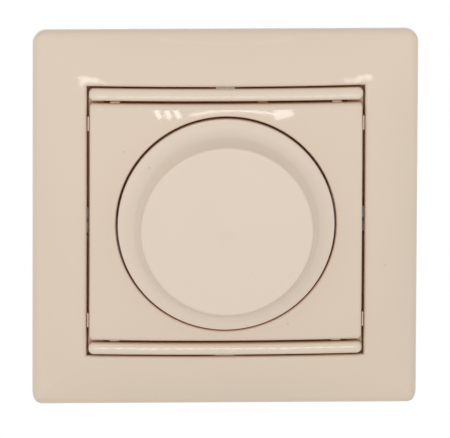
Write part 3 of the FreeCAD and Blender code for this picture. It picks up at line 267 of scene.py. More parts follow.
def make_moulded_skin():
    """Fine unevenness of a moulding: a shade that drifts, and the height of its skin."""
    group, entry = effect(
        "moulded skin",
        [("Colour", COLOUR, None), ("Drift", FLOAT, 0.03), ("Drift size", FLOAT, 60.0),
         ("Grain size", FLOAT, 900.0), ("Grain detail", FLOAT, 4.0),
         ("Roughness", FLOAT, 0.3), ("Roughness drift", FLOAT, 0.05)],
        FINISH)
    place = object_place(group)
    broad = noise(group, place, entry["Drift size"], detail=3.0)
    fine = noise(group, place, entry["Grain size"], entry["Grain detail"])
    shade = sums(group, "MULTIPLY_ADD", sums(group, "SUBTRACT", broad, NOISE_MIDDLE),
                 entry["Drift"], 1.0)
    rough = sums(group, "MULTIPLY_ADD", sums(group, "SUBTRACT", fine, NOISE_MIDDLE),
                 entry["Roughness drift"], entry["Roughness"], clamp=True)
    toned = vectors(group, "SCALE", {0: entry["Colour"], "Scale": shade})
    node(group, "NodeGroupOutput", {"Colour": toned, "Roughness": rough, "Height": fine})
    return group


def make_surface_mark():
    """Soft oval mark at one place on the front, with its place and size in mm."""
    group, entry = effect(
        "surface mark",
        [("Across", FLOAT, 0.0), ("Up", FLOAT, 0.0), ("Length", FLOAT, 0.3),
         ("Width", FLOAT, 0.3), ("Turn", FLOAT, 0.0), ("Strength", FLOAT, 0.5),
         ("Before", FLOAT, 0.0)],
        [("Mask", FLOAT)])
    place = apart(group, object_place(group))
    across = sums(group, "SUBTRACT", sums(group, "DIVIDE", place["X"], MM), entry["Across"])
    up = sums(group, "SUBTRACT", sums(group, "DIVIDE", place["Z"], MM), entry["Up"])
    cosine = sums(group, "COSINE", entry["Turn"])
    sine = sums(group, "SINE", entry["Turn"])
    along = sums(group, "ADD", sums(group, "MULTIPLY", across, cosine),
                 sums(group, "MULTIPLY", up, sine))
    aside = sums(group, "SUBTRACT", sums(group, "MULTIPLY", up, cosine),
                 sums(group, "MULTIPLY", across, sine))
    oval = sums(group, "ADD",
                sums(group, "POWER", sums(group, "DIVIDE", along, entry["Length"]), 2.0),
                sums(group, "POWER", sums(group, "DIVIDE", aside, entry["Width"]), 2.0))
    inside = sums(group, "MULTIPLY", sums(group, "SUBTRACT", 1.0, oval, clamp=True),
                  entry["Strength"])
    mask = sums(group, "MAXIMUM", inside, entry["Before"])
    node(group, "NodeGroupOutput", {"Mask": mask})
    return group


def make_drawn_metal():
    """Drawn or rolled metal: long faint lines that change shade, gloss and height."""
    group, entry = effect(
        "drawn metal",
        [("Colour", COLOUR, None), ("Roughness", FLOAT, 0.3),
         ("Stretch", VECTOR, (1.0, 1.0, 12.0)), ("Line size", FLOAT, 500.0),
         ("Tarnish", FLOAT, 0.1)],
        FINISH)
    place = object_place(group)
    squeezed = vectors(group, "DIVIDE", {0: place, 1: entry["Stretch"]})
    lines = noise(group, squeezed, entry["Line size"], detail=5.0)
    clouds = noise(group, place, CLOUD_SIZE, detail=4.0)
    dull = sums(group, "MULTIPLY", clouds, entry["Tarnish"])
    shade = sums(group, "SUBTRACT", 1.0, dull)
    toned = vectors(group, "SCALE", {0: entry["Colour"], "Scale": shade})
    lined = sums(group, "MULTIPLY_ADD", lines, LINE_ROUGHNESS, entry["Roughness"])
    rough = sums(group, "ADD", lined, dull, clamp=True)
    node(group, "NodeGroupOutput", {"Colour": toned, "Roughness": rough, "Height": lines})
    return group


def make_bands():
    """Painted rings round a component that lies along x, in mm from its middle."""
    group, entry = effect(
        "painted rings",
        [("Colour", COLOUR, None), ("Ring colour", COLOUR, None), ("Middle", FLOAT, 0.0),
         ("Offset", FLOAT, 1.0), ("Width", FLOAT, 0.6)],
        [("Colour", COLOUR)])
    across = apart(group, object_place(group))["X"]
    along = sums(group, "SUBTRACT", sums(group, "DIVIDE", across, MM), entry["Middle"])
    away = sums(group, "ABSOLUTE", sums(group, "SUBTRACT", along, entry["Offset"]))
    ring = sums(group, "LESS_THAN", away, sums(group, "DIVIDE", entry["Width"], 2.0))
    painted = mixed(group, ring, entry["Colour"], entry["Ring colour"])
    node(group, "NodeGroupOutput", {"Colour": painted})
    return group


def make_bar_crown():
    """Soft ridge along both bars: the height of a section that falls off to each side."""
    group, entry = effect(
        "bar crown",
        [("Ridge", FLOAT, 27.0 * MM), ("Shift", FLOAT, 0.66 * MM),
         ("Softness", FLOAT, 0.5 * MM), ("Slope", FLOAT, 0.14)],
        [("Height", FLOAT)])
    up = apart(group, object_place(group))["Z"]
    ridge = sums(group, "MULTIPLY", sums(group, "SIGN", up), entry["Ridge"])
    away = sums(group, "ADD", sums(group, "SUBTRACT", up, ridge), entry["Shift"])
    square = sums(group, "ADD", sums(group, "MULTIPLY", away, away),
                  sums(group, "MULTIPLY", entry["Softness"], entry["Softness"]))
    fall = sums(group, "MULTIPLY", sums(group, "SQRT", square), entry["Slope"])
    node(group, "NodeGroupOutput", {"Height": sums(group, "SUBTRACT", 0.0, fall)})
    return group


def placed(tree, name, values):
    """Places one of the shared effects in a material; gives what it puts out."""
    return node(tree, "ShaderNodeGroup", values, node_tree=EFFECTS[name]).outputs


# Materials

# A point takes the ball's normal while it is this near to the ball, and loses it over the fade
BALL_REACH = 0.05 * MM
BALL_FADE = 0.03 * MM

# Painted shade in narrow gaps: gaps are searched this far for a wall, painted darker where
# less than 1 / GAP_GAIN of the space round a point is open, and only in front of GAP_FRONT
GAP_REACH = 2.0 * MM
GAP_GAIN = 1.7
GAP_FRONT = -1.5 * MM

# Stretch of a metal's lines where it has none
EVENLY = (1.0, 1.0, 1.0)


def opaque(colour):
    """Colour with a full alpha."""
    return (*colour, 1.0)


def new_material(name):
    """Empty material with its shader; gives the material, its tree and the shader."""
    material = bpy.data.materials.new(name)
    material.use_nodes = True
    tree = material.node_tree
    return material, tree, tree.nodes["Principled BSDF"]


def coloured(tree, shader, tone, rough):
    """Leads a colour and a roughness into the shader."""
    tree.links.new(tone, shader.inputs["Base Color"])
    tree.links.new(rough, shader.inputs["Roughness"])


def edge_normal(tree, width):
    """Normals that turn softly over each edge."""
    return node(tree, "ShaderNodeBevel", {"Radius": width}, samples=4).outputs["Normal"]


def hub_normal(tree, radius):
    """Normals of the plain facets near the piece's axis, and its own normals elsewhere."""
    flat = vectors(tree, "MULTIPLY", {0: object_place(tree), 1: (1.0, 0.0, 1.0)})
    inside = sums(tree, "LESS_THAN", vectors(tree, "LENGTH", {0: flat}), radius)
    surface = node(tree, "ShaderNodeNewGeometry").outputs
    return mixed_normal(tree, inside, surface["Normal"], surface["True Normal"])


def ball_normal(tree, middle, radius):
    """Normals of a ball where the surface lies on it, and the piece's own elsewhere."""
    outward = vectors(tree, "SUBTRACT", {0: object_place(tree), 1: middle})
    reach = vectors(tree, "LENGTH", {0: outward})
    away = sums(tree, "ABSOLUTE", sums(tree, "SUBTRACT", reach, radius))
    share = sums(tree, "DIVIDE", sums(tree, "SUBTRACT", BALL_REACH, away), BALL_FADE, clamp=True)
    own = node(tree, "ShaderNodeNewGeometry").outputs["Normal"]
    return mixed_normal(tree, share, own, vectors(tree, "NORMALIZE", {0: outward}))


def bumped(tree, shader, height, depth, crease=0.0, hub=0.0, ball=None):
    """Leads a height into the shader's normal, over soft edges, a plain hub or a ball."""
    bump = node(tree, "ShaderNodeBump", {"Height": height, "Distance": depth, "Strength": 1.0})
    if crease:
        tree.links.new(edge_normal(tree, crease), bump.inputs["Normal"])
    elif hub:
        tree.links.new(hub_normal(tree, hub), bump.inputs["Normal"])
    elif ball:
        tree.links.new(ball_normal(tree, *ball), bump.inputs["Normal"])
    tree.links.new(bump.outputs["Normal"], shader.inputs["Normal"])


def marked(tree, marks):
    """Mask of all marks on a piece."""
    mask = 0.0
    for across, up, length, width, turn, strength in marks:
        mask = placed(tree, "surface mark", {
            "Across": across, "Up": up, "Length": length, "Width": width,
            "Turn": math.radians(turn), "Strength": strength, "Before": mask})["Mask"]
    return mask


def gap_shade_share(tree):
    """How much of a point is shut in by a narrow gap of the front: the share of painted shade
    there.
    """
    surround = node(tree, "ShaderNodeAmbientOcclusion", {"Distance": GAP_REACH}, samples=4)
    light = sums(tree, "MULTIPLY", surround.outputs["AO"], GAP_GAIN, clamp=True)
    in_front = sums(tree, "LESS_THAN", apart(tree, object_place(tree))["Y"], GAP_FRONT)
    return sums(tree, "MULTIPLY", sums(tree, "SUBTRACT", 1.0, light), in_front)


def moulding(name, colour, roughness=0.4, drift=0.05, grain=900.0, detail=4.0,
             depth=0.01 * MM, marks=(), gaps=None, crowned=False, **shape):
    """Moulded plastic, with its marks, painted shade in its narrow gaps and a crowned section."""
    material, tree, shader = new_material(name)
    skin = placed(tree, "moulded skin", {
        "Colour": opaque(colour), "Drift": drift, "Grain size": grain, "Grain detail": detail,
        "Roughness": roughness, "Roughness drift": roughness / 5})
    tone = skin["Colour"]
    if marks:
        mark_colour = opaque(bpy.context.scene.dimmer_cover.mark_colour)
        tone = mixed(tree, marked(tree, marks), tone, mark_colour)
    # Painted shade: the gap colour darkens the tone where a narrow gap shuts the point in
    if gaps:
        tone = mixed(tree, gap_shade_share(tree), tone, opaque(gaps))
    coloured(tree, shader, tone, skin["Roughness"])
    shader.inputs["IOR"].default_value = 1.5
    height = sums(tree, "MULTIPLY", skin["Height"], depth)
    if crowned:
        height = sums(tree, "ADD", height, placed(tree, "bar crown", {})["Height"])
    bumped(tree, shader, height, depth=1.0, **shape)
    return material


def metal(name, colour, roughness=0.3, stretch=(1.0, 1.0, 12.0), tarnish=0.1,
          depth=0.006 * MM):
    """Bare or plated metal."""
    material, tree, shader = new_material(name)
    drawn = placed(tree, "drawn metal", {
        "Colour": opaque(colour), "Roughness": roughness, "Stretch": stretch,
        "Tarnish": tarnish})
    coloured(tree, shader, drawn["Colour"], drawn["Roughness"])
    shader.inputs["Metallic"].default_value = 1.0
    bumped(tree, shader, drawn["Height"], depth)
    return material


def banded(name, colour, rings, middle, roughness=0.3):
    """Lacquered component with painted rings."""
    material, tree, shader = new_material(name)
    skin = placed(tree, "moulded skin", {
        "Colour": opaque(colour), "Drift": 0.1, "Drift size": 300.0, "Roughness": roughness})
    tone = skin["Colour"]
    for offset, width, ring in rings:
        tone = placed(tree, "painted rings", {
            "Colour": tone, "Ring colour": opaque(ring), "Middle": middle, "Offset": offset,
            "Width": width})["Colour"]
    coloured(tree, shader, tone, skin["Roughness"])
    bumped(tree, shader, skin["Height"], depth=0.01 * MM)
    return material


def laminate():
    """Brown board laminate with its paper fibres."""
    material, tree, shader = new_material("board laminate")
    fibres = noise(tree, object_place(tree), scale=700.0, detail=6.0)
    tone = mixed(tree, fibres, opaque((0.42, 0.25, 0.09)), opaque((0.56, 0.36, 0.15)))
    tree.links.new(tone, shader.inputs["Base Color"])
    shader.inputs["Roughness"].default_value = 0.45
    bumped(tree, shader, fibres, depth=0.01 * MM)
    return material


def clear_glass():
    """Fuse glass."""
    material, tree, shader = new_material("fuse glass")
    waves = noise(tree, object_place(tree), scale=180.0, detail=2.0)
    shader.inputs["Base Color"].default_value = (0.95, 0.98, 0.97, 1.0)
    shader.inputs["Roughness"].default_value = 0.03
    shader.inputs["IOR"].default_value = 1.47
    shader.inputs["Transmission Weight"].default_value = 1.0
    bumped(tree, shader, waves, depth=0.005 * MM)
    return material


def finish(material, *names):
    """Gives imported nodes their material."""
    for name in names:
        mesh = NODES[name].data
        mesh.materials.clear()
        mesh.materials.append(material)


# Geometry Nodes

SOLDER_TIP = 0.28 * MM

# Tilts of a coil
ALONG_Y = (-math.pi / 2, 0.0, 0.0)
ALONG_Z = (0.0, 0.0, 0.0)


def shape_tree(name, inputs):
    """New Geometry Nodes tree with named inputs; gives the tree and what enters it."""
    tree = bpy.data.node_groups.new(name, "GeometryNodeTree")
    tree.interface.new_socket("Geometry", in_out="INPUT", socket_type="NodeSocketGeometry")
    for label, kind in inputs:
        tree.interface.new_socket(label, in_out="INPUT", socket_type=kind)
    tree.interface.new_socket("Geometry", in_out="OUTPUT", socket_type="NodeSocketGeometry")
    return tree, tree.nodes.new("NodeGroupInput").outputs


def finish_tree(tree, geometry, material, smooth=True):
    """Ends a tree with its shading, real geometry and its material."""
    shaded = node(tree, "GeometryNodeSetShadeSmooth", {
        "Geometry": geometry, "Shade Smooth": smooth})
    real = node(tree, "GeometryNodeRealizeInstances", {"Geometry": shaded.outputs[0]})
    dressed = node(tree, "GeometryNodeSetMaterial", {
        "Geometry": real.outputs[0], "Material": material})
    node(tree, "NodeGroupOutput", {0: dressed.outputs[0]})


def grown(name, tree, values, points=()):
    """Runs a tree on a mesh of points and keeps the result as a plain mesh."""
    seed = bpy.data.meshes.new(name)
    seed.from_pydata([tuple(p) for p in points] or [(0.0, 0.0, 0.0)], [], [])
    piece = bpy.data.objects.new(name, seed)
    bpy.context.collection.objects.link(piece)
    modifier = piece.modifiers.new("shape", "NODES")
    modifier.node_group = tree
    for item in tree.interface.items_tree:
        if item.in_out == "INPUT" and item.name in values:
            modifier[item.identifier] = values[item.name]
    view = bpy.context.evaluated_depsgraph_get()
    made = bpy.data.meshes.new_from_object(piece.evaluated_get(view))
    made.name = name
    piece.modifiers.clear()
    piece.data = made
    if not made.polygons:
        raise RuntimeError(name + " has no faces")
    return piece


def make_coil_tree(name, material):
    """Helix of round or ridged wire along z, tilted and then moved to its place."""
    tree, entry = shape_tree(name, [
        ("Radius", FLOAT), ("Height", FLOAT), ("Turns", FLOAT), ("Wire", FLOAT),
        ("Sides", INTEGER), ("Steps", INTEGER), ("Place", VECTOR), ("Tilt", VECTOR)])
    helix = node(tree, "GeometryNodeCurveSpiral", {
        "Resolution": entry["Steps"], "Rotations": entry["Turns"],
        "Start Radius": entry["Radius"], "End Radius": entry["Radius"],
        "Height": entry["Height"]})
    moved = node(tree, "GeometryNodeTransform", {
        "Geometry": helix.outputs[0], "Translation": entry["Place"], "Rotation": entry["Tilt"]})
    section = node(tree, "GeometryNodeCurvePrimitiveCircle", {
        "Resolution": entry["Sides"], "Radius": entry["Wire"]}, mode="RADIUS")
    swept = node(tree, "GeometryNodeCurveToMesh", {
        "Curve": moved.outputs[0], "Profile Curve": section.outputs[0], "Fill Caps": True})
    finish_tree(tree, swept.outputs[0], material)
    return tree


def put_on_points(tree, entry, shape, material, smooth=True, **turn):
    """Ends a tree with one copy of a shape on each point."""
    points = node(tree, "GeometryNodeMeshToPoints", {"Mesh": entry["Geometry"]})
    copies = node(tree, "GeometryNodeInstanceOnPoints", {
        "Points": points.outputs[0], "Instance": shape.outputs[0], **turn})
    finish_tree(tree, copies.outputs[0], material, smooth)


def make_solder_tree(material):
    """Cone of solder on each point, foot on the board's rear face."""
    tree, entry = shape_tree("solder joints", [("Foot", FLOAT), ("Height", FLOAT)])
    cone = node(tree, "GeometryNodeMeshCone", {
        "Vertices": 16, "Side Segments": 3, "Radius Top": SOLDER_TIP,
        "Radius Bottom": entry["Foot"], "Depth": entry["Height"]})
    put_on_points(tree, entry, cone, material, Rotation=ALONG_Y)
    return tree


def make_rib_tree(material):
    """Block on each point."""
    tree, entry = shape_tree("edge ribs", [("Size", VECTOR)])
    block = node(tree, "GeometryNodeMeshCube", {"Size": entry["Size"]})
    put_on_points(tree, entry, block, material, smooth=False)
    return tree


def kept(piece, body):
    """Tells the frame which body a made piece rides on."""
    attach(piece, body)


def span(name):
    """Middle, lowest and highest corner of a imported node."""
    low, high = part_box(name)
    return (low + high) / 2, low, high


def cut_thread(name, tree, radius, length, pitch, steps, place):
    """Ridges of a thread on a stem that lies along y."""
    ridge = bpy.context.scene.dimmer_threads.ridge
    return grown(name, tree, {
        "Radius": radius, "Height": length, "Turns": length / pitch, "Wire": ridge / 2,
        "Sides": 4, "Steps": steps, "Place": place, "Tilt": ALONG_Y})


# Operators


class DIMMER_OT_effects(Operator):
    """Build the shader effects that the finishes share"""

    bl_idname = "dimmer.effects"
    bl_label = "Shared effects"

    def execute(self, context):
        EFFECTS["moulded skin"] = make_moulded_skin()
        EFFECTS["surface mark"] = make_surface_mark()
        EFFECTS["drawn metal"] = make_drawn_metal()
        EFFECTS["painted rings"] = make_bands()
        EFFECTS["bar crown"] = make_bar_crown()
        return {"FINISHED"}


# Small ribs on the plate's upper and lower edges: across in mm, depth and size
TOP_RIBS = (-23.0, 7.6, 23.0)
LOW_RIBS = (-23.0, 23.0)
RIB_DEPTH = -3.5 * MM
RIB_SIZE = (2.0 * MM, 2.4 * MM, 0.6 * MM)

# Ball that the plate's face is a part of: its foremost point and its radius
DOME_CROWN = -8.2 * MM
DOME_RADIUS = 296.0 * MM

# Middle of the knob's dish, where its facets meet in one point
HUB_RADIUS = 3.69 * MM

# Marks on the front: across, up, length, width in mm, turn in degrees, strength
FRAME_MARKS = ((33.3, -9.6, 0.22, 0.18, 0.0, 0.7),)
PLATE_MARKS = ((-21.3, 15.5, 0.3, 0.2, 30.0, 0.6), (12.95, -21.45, 0.28, 0.2, 0.0, 0.6))
KNOB_MARKS = (
    (-16.0, 12.5, 0.26, 0.2, 0.0, 0.6),
    (13.4, -9.0, 0.7, 0.09, 48.0, 0.25),
    (4.5, -9.9, 0.75, 0.08, 62.0, 0.22),
    (9.9, -12.7, 0.6, 0.08, 55.0, 0.22),
)


class DIMMER_OT_cover_set(Operator):
    """Finish the frame, the holder ring, the centre plate and the knob"""

    bl_idname = "dimmer.cover_set"
    bl_label = "Cover set"

    def execute(self, context):
        cover = context.scene.dimmer_cover
        # The polished finish carries the painted shade of the narrow gaps
        polished = {"roughness": cover.gloss, "drift": 0.03, "grain": 350.0, "detail": 1.0,
                    "depth": cover.skin_depth, "gaps": cover.gap_shade_colour}
        finish(moulding("frame cream", cover.plate_colour, marks=FRAME_MARKS,
                        crease=cover.crease_width, **polished), "surround_frame")
        dome = ((0.0, DOME_CROWN + DOME_RADIUS, 0.0), DOME_RADIUS)
        plate = moulding("plate cream", cover.plate_colour, marks=PLATE_MARKS, ball=dome,
                         **polished)
        finish(plate, "centre_plate")
        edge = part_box("centre_plate")[1].z
        places = [(across * MM, RIB_DEPTH, edge) for across in TOP_RIBS]
        places += [(across * MM, RIB_DEPTH, -edge) for across in LOW_RIBS]
        ribs = grown("plate_ribs", make_rib_tree(plate), {"Size": RIB_SIZE}, places)
        kept(ribs, "base")
        # The bars' colour holds a little painted highlight
        finish(moulding("bar cream", cover.bar_colour_and_highlight, crowned=True, **polished), "bar_holder")
        finish(moulding("knob cream", cover.knob_colour, marks=KNOB_MARKS, hub=HUB_RADIUS,
                        **polished), "knob")
        return {"FINISHED"}


# Length of a stem's end that is measured for its radius, and the reach over which the
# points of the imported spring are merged
STEM_END = 1.0 * MM
MERGE_REACH = 0.001 * MM


def stem_radius():
    """Radius of the bushing's threaded stem, from the points of its front end."""
    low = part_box("spindle_bushing")[0]
    points = [v.co for v in NODES["spindle_bushing"].data.vertices]
    return max(math.hypot(p.x, p.z) for p in points if p.y < low.y + STEM_END)


def press_spring(material):
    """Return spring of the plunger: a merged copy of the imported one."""
    coil = bpy.data.objects.new("return_coil", NODES["return_spring"].data.copy())
    bpy.context.collection.objects.link(coil)
    shape = bmesh.new()
    shape.from_mesh(coil.data)
    bmesh.ops.remove_doubles(shape, verts=shape.verts, dist=MERGE_REACH)
    shape.to_mesh(coil.data)
    shape.free()
    coil.data.shade_smooth()
    coil.data.materials.clear()
    coil.data.materials.append(material)
    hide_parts("return_spring")
    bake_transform(coil)


class DIMMER_OT_carrier(Operator):
    """Finish the carrier, its screws, the clamp and both springs, and cut the bushing's thread"""

    bl_idname = "dimmer.carrier"
    bl_label = "Carrier and clamp"

    def execute(self, context):
        finish(metal("zinc plating", (0.62, 0.63, 0.62), roughness=0.28,
                     stretch=(14.0, 1.0, 1.0), tarnish=0.14),
               "support_plate", "housing_screws", "spindle_nut", "triac_screw")
        spring = metal("spring steel", (0.4, 0.4, 0.41), roughness=0.22, tarnish=0.08)
        finish(spring, "knob_clip", "lock_washer")
        press_spring(spring)
        finish(metal("sheet aluminium", (0.74, 0.75, 0.76), roughness=0.35,
                     stretch=(1.0, 1.0, 18.0)), "heat_sink")
        casting = metal("zinc casting", (0.56, 0.57, 0.58), roughness=0.38,
                        stretch=EVENLY)
        finish(casting, "spindle_bushing")
        pitch = context.scene.dimmer_threads.fine_pitch
        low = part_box("spindle_bushing")[0]
        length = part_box("support_plate")[0].y - low.y - 2 * pitch
        thread = cut_thread("bushing_thread", make_coil_tree("bushing thread", casting),
                            stem_radius(), length, pitch, steps=40,
                            place=(0.0, low.y + pitch / 2, 0.0))
        kept(thread, "base")
        return {"FINISHED"}


class DIMMER_OT_housing(Operator):
    """Finish the housing behind the wall"""

    bl_idname = "dimmer.housing"
    bl_label = "Rear housing"

    def execute(self, context):
        finish(moulding("housing grey", (0.045, 0.046, 0.05), roughness=0.5, drift=0.2,
                        grain=1500.0, depth=0.03 * MM), "rear_housing")
        return {"FINISHED"}


class DIMMER_OT_potentiometer(Operator):
    """Finish the spindle, the potentiometer and the push switch"""

    bl_idname = "dimmer.potentiometer"
    bl_label = "Potentiometer and switch"

    def execute(self, context):
        finish(moulding("case black", (0.018, 0.018, 0.019), roughness=0.4, drift=0.2,
                        grain=1300.0, depth=0.02 * MM), "potentiometer_case", "switch_case")
        finish(moulding("white nylon", (0.72, 0.72, 0.69), roughness=0.42, drift=0.06),
               "spindle", "wiper_rotor", "switch_plunger")
        finish(metal("contact brass", (0.72, 0.53, 0.24), roughness=0.25, tarnish=0.16),
               "wiper_contact", "switch_blade", "fixed_contacts")
        finish(moulding("track carbon", (0.03, 0.024, 0.02), roughness=0.6, drift=0.3),
               "resistive_track")
        finish(laminate(), "switch_cover")
        return {"FINISHED"}


# Components with two leads, which come out at these shares of half their width and height
LEADS = (
    ("choke_winding", 0.0, 1.0), ("suppression_capacitor", 0.8, 0.0),
    ("timing_capacitor", 0.7, 0.0), ("resistors", 1.0, 1.0), ("trigger_diode", 1.0, 0.0),
    ("triac", 0.6, 0.0), ("fuse_clips", 0.0, 0.85),
)

# Painted rings: offset from the middle and width in mm, and colour
RESISTOR_RINGS = (
    (-2.1, 0.5, (0.35, 0.04, 0.03)), (-1.1, 0.5, (0.08, 0.03, 0.02)),
    (-0.1, 0.5, (0.75, 0.3, 0.02)), (1.8, 0.5, (0.6, 0.42, 0.1)),
)
DIODE_RINGS = ((0.0, 0.5, (0.01, 0.01, 0.01)),)


def lead_places():
    """Where the leads of the components come through the board, on its rear face."""
    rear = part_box("circuit_board")[1].y
    places = []
    for name, across, up in LEADS:
        middle, low, high = span(name)
        reach_x = (high.x - low.x) / 2 * across
        reach_z = (high.z - low.z) / 2 * up
        for side in (-1, 1):
            places.append((middle.x + side * reach_x, rear, middle.z + side * reach_z))
    return places


class DIMMER_OT_board(Operator):
    """Finish the board and its components, and put the solder joints behind it"""

    bl_idname = "dimmer.board"
    bl_label = "Circuit board"

    def execute(self, context):
        finish(laminate(), "circuit_board")
        finish(moulding("ferrite", (0.05, 0.05, 0.055), roughness=0.55, drift=0.3,
                        grain=2200.0, depth=0.03 * MM), "choke_core")
        finish(moulding("film capacitor yellow", (0.7, 0.38, 0.03), roughness=0.22, drift=0.06),
               "suppression_capacitor")
        finish(moulding("film capacitor green", (0.03, 0.16, 0.06), roughness=0.2, drift=0.1),
               "timing_capacitor")
        finish(banded("resistor lacquer", (0.55, 0.4, 0.2), RESISTOR_RINGS,
                      span("resistors")[0].x / MM), "resistors")
        finish(banded("diode blue", (0.02, 0.06, 0.25), DIODE_RINGS,
                      span("trigger_diode")[0].x / MM, roughness=0.15), "trigger_diode")
        finish(moulding("triac black", (0.014, 0.014, 0.015), roughness=0.45, drift=0.2,
                        grain=2500.0, depth=0.02 * MM), "triac")
        finish(moulding("mica", (0.55, 0.5, 0.38), roughness=0.25, drift=0.25), "mica_pad")
        solder = metal("solder tin", (0.7, 0.7, 0.72), roughness=0.22, stretch=EVENLY,
                       tarnish=0.2)
        sizes = context.scene.dimmer_solder
        joints = grown("solder_joints", make_solder_tree(solder),
                       {"Foot": sizes.foot, "Height": sizes.height}, lead_places())
        kept(joints, "base")
        return {"FINISHED"}


# Step between two layers of wire, as a share of the wire's thickness
LAYER_STEP = 0.9


class DIMMER_OT_choke(Operator):
    """Wind the choke with its turns of lacquered wire"""

    bl_idname = "dimmer.choke"
    bl_label = "Choke winding"

    def execute(self, context):
        sizes = context.scene.dimmer_wire
        copper = metal("lacquered copper", (0.62, 0.22, 0.08), roughness=0.18,
                       stretch=EVENLY, tarnish=0.1, depth=0.002 * MM)
        finish(copper, "choke_winding")
        core, core_low, core_high = span("choke_core")
        core_radius = (core_high.x - core_low.x) / 2
        low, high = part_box("choke_winding")
        pitch = 2 * sizes.wire_radius
        length = high.z - low.z - pitch
        tree = make_coil_tree("choke turns", copper)
        outer = (high.x - low.x) / 2 - sizes.wire_radius
        for layer in range(sizes.layers):
            radius = outer - layer * pitch * LAYER_STEP
            if radius - sizes.wire_radius < core_radius:
                raise RuntimeError("the winding has no room for its inner layer")
            turns = grown("choke_turns_%d" % (layer + 1), tree, {
                "Radius": radius, "Height": length, "Turns": length / pitch,
                "Wire": sizes.wire_radius, "Sides": 8, "Steps": 32,
                "Place": (core.x, core.y, low.z + sizes.wire_radius), "Tilt": ALONG_Z})
            kept(turns, "base")
        return {"FINISHED"}


# Radius of the fuse's wire, and of the three waves in which it hangs
FUSE_WIRE = 0.09 * MM
FUSE_WAVE = 0.02 * MM


class DIMMER_OT_fuse(Operator):
    """Finish the fuse and string its wire"""

    bl_idname = "dimmer.fuse"
    bl_label = "Fuse"

    def execute(self, context):
        finish(clear_glass(), "fuse_glass")
        nickel = metal("nickel plating", (0.72, 0.71, 0.68), roughness=0.14, tarnish=0.06)
        finish(nickel, "fuse_caps")
        finish(metal("clip bronze", (0.66, 0.47, 0.24), roughness=0.28, tarnish=0.2),
               "fuse_clips")
        middle, low, high = span("fuse_glass")
        wire = grown("fuse_wire", make_coil_tree("fuse wire", nickel), {
            "Radius": FUSE_WAVE, "Height": high.z - low.z, "Turns": 3.0, "Wire": FUSE_WIRE,
            "Sides": 6, "Steps": 16, "Place": (middle.x, middle.y, low.z), "Tilt": ALONG_Z})
        kept(wire, "base")
        return {"FINISHED"}


class DIMMER_OT_terminals(Operator):
    """Finish the terminal block, its clamps and screws"""

    bl_idname = "dimmer.terminals"
    bl_label = "Terminals"

    def execute(self, context):
        finish(moulding("terminal grey", (0.27, 0.27, 0.265), roughness=0.4, drift=0.1),
               "terminal_block")
        finish(metal("clamp brass", (0.7, 0.5, 0.22), roughness=0.3, tarnish=0.2),
               "terminal_clamps")
        finish(metal("screw zinc", (0.6, 0.6, 0.6), roughness=0.25, stretch=EVENLY,
                     tarnish=0.15), "terminal_screws")
        return {"FINISHED"}


class DIMMER_OT_claws(Operator):
    """Finish the box claws and thread their screws"""

    bl_idname = "dimmer.claws"
    bl_label = "Box claws"

    def execute(self, context):
        plate = metal("claw zinc", (0.6, 0.61, 0.6), roughness=0.32, stretch=(1.0, 14.0, 1.0),
                      tarnish=0.2)
        pitch = context.scene.dimmer_threads.coarse_pitch
        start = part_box("support_plate")[1].y + 2 * pitch
        tree = make_coil_tree("claw screw thread", plate)
        for side in ("right", "left"):
            screw = "claw_screw_" + side
            finish(plate, "claw_" + side, screw)
            middle, _, high = span(screw)
            radius = max(v.co.x - middle.x for v in NODES[screw].data.vertices
                         if v.co.y > high.y - STEM_END)
            thread = cut_thread("claw_thread_" + side, tree, radius,
                                high.y - start - pitch / 2, pitch, steps=24,
                                place=(middle.x, start, middle.z))
            kept(thread, side + "_claw_screw")
        return {"FINISHED"}


# Stage

CAMERA_AIM = Vector((0.06 * MM, 0.0, -0.75 * MM))
SENSOR_WIDTH = 36.0
VIEW_END = 20.0
OWN_AXIS = (0.0, 0.0, 1.0)

# Soft lamps, which gloss doesn't show, and the thin one that it shows: place and size
FRONT_LAMP = ((-1.3, -1.8, 0.35), 1.2)
LOW_LAMP = ((0.9, -1.8, -0.55), 1.0)
STRIP_LAMP = ((0.0, -1.1, 1.15), 1.4)
STRIP_HEIGHT = 0.012
STRIP_POWER = 0.18

# Window that the front mirrors: its depth, the step from pane to pane, and the power of the
# upper and the low panes for each square metre
WINDOW_DEPTH = -3.0
PANE_STEP = 0.044
PANE_GLOW = 26.0
SILL_GLOW = 18.0

# Panes: across, up, width and height in metres, turn in degrees, glow
SLANTED_PANE = (-0.2, -0.22, 0.022, 0.05, 24.0, PANE_GLOW)
SIDE_PANE = (0.375, -0.222, 0.085, 0.05, 12.0, 0.75 * PANE_GLOW)
LOW_PANE = (0.115, -0.09, 0.034, 0.12, 0.0, SILL_GLOW)

# Thin arc of small panes: how many, their size, the middle of the arc, half its width, how
# far its ends hang down, and the turn of its last pane
ARC_PANES = 12
ARC_PANE = (0.036, 0.009)
ARC_MIDDLE = (0.14, -0.206)
ARC_REACH = 0.18
ARC_DROP = 0.02
ARC_TURN = -9.0

# Room light: its colour, where it is strongest, how fast it falls off from there, its
# level at the sides and its least level
ROOM_COLOUR = (1.0, 0.99, 0.975, 1.0)
ROOM_AHEAD = (-0.05, -1.0, -0.2)
ROOM_SLOPE = 0.36
ROOM_LEVEL = 0.76
ROOM_LEAST = 0.75

# Floor: half its width, its height, and how much of it shows as plain white
FLOOR_REACH = 0.19
FLOOR_HEIGHT = -0.1
FLOOR_WHITE = 0.7


def pane_row(pane, steps):
    """Row of like panes, some steps to the left or right of the given one."""
    across, *others = pane
    return [(across + PANE_STEP * step, *others) for step in steps]


def pane_arc():
    """Thin arc of small panes, from its left end to its right end."""
    panes = []
    for number in range(ARC_PANES):
        share = 2.0 * number / (ARC_PANES - 1) - 1.0
        across = ARC_MIDDLE[0] + ARC_REACH * share
        up = ARC_MIDDLE[1] - ARC_DROP * share * share
        panes.append((across, up, *ARC_PANE, ARC_TURN * share, PANE_GLOW))
    return panes


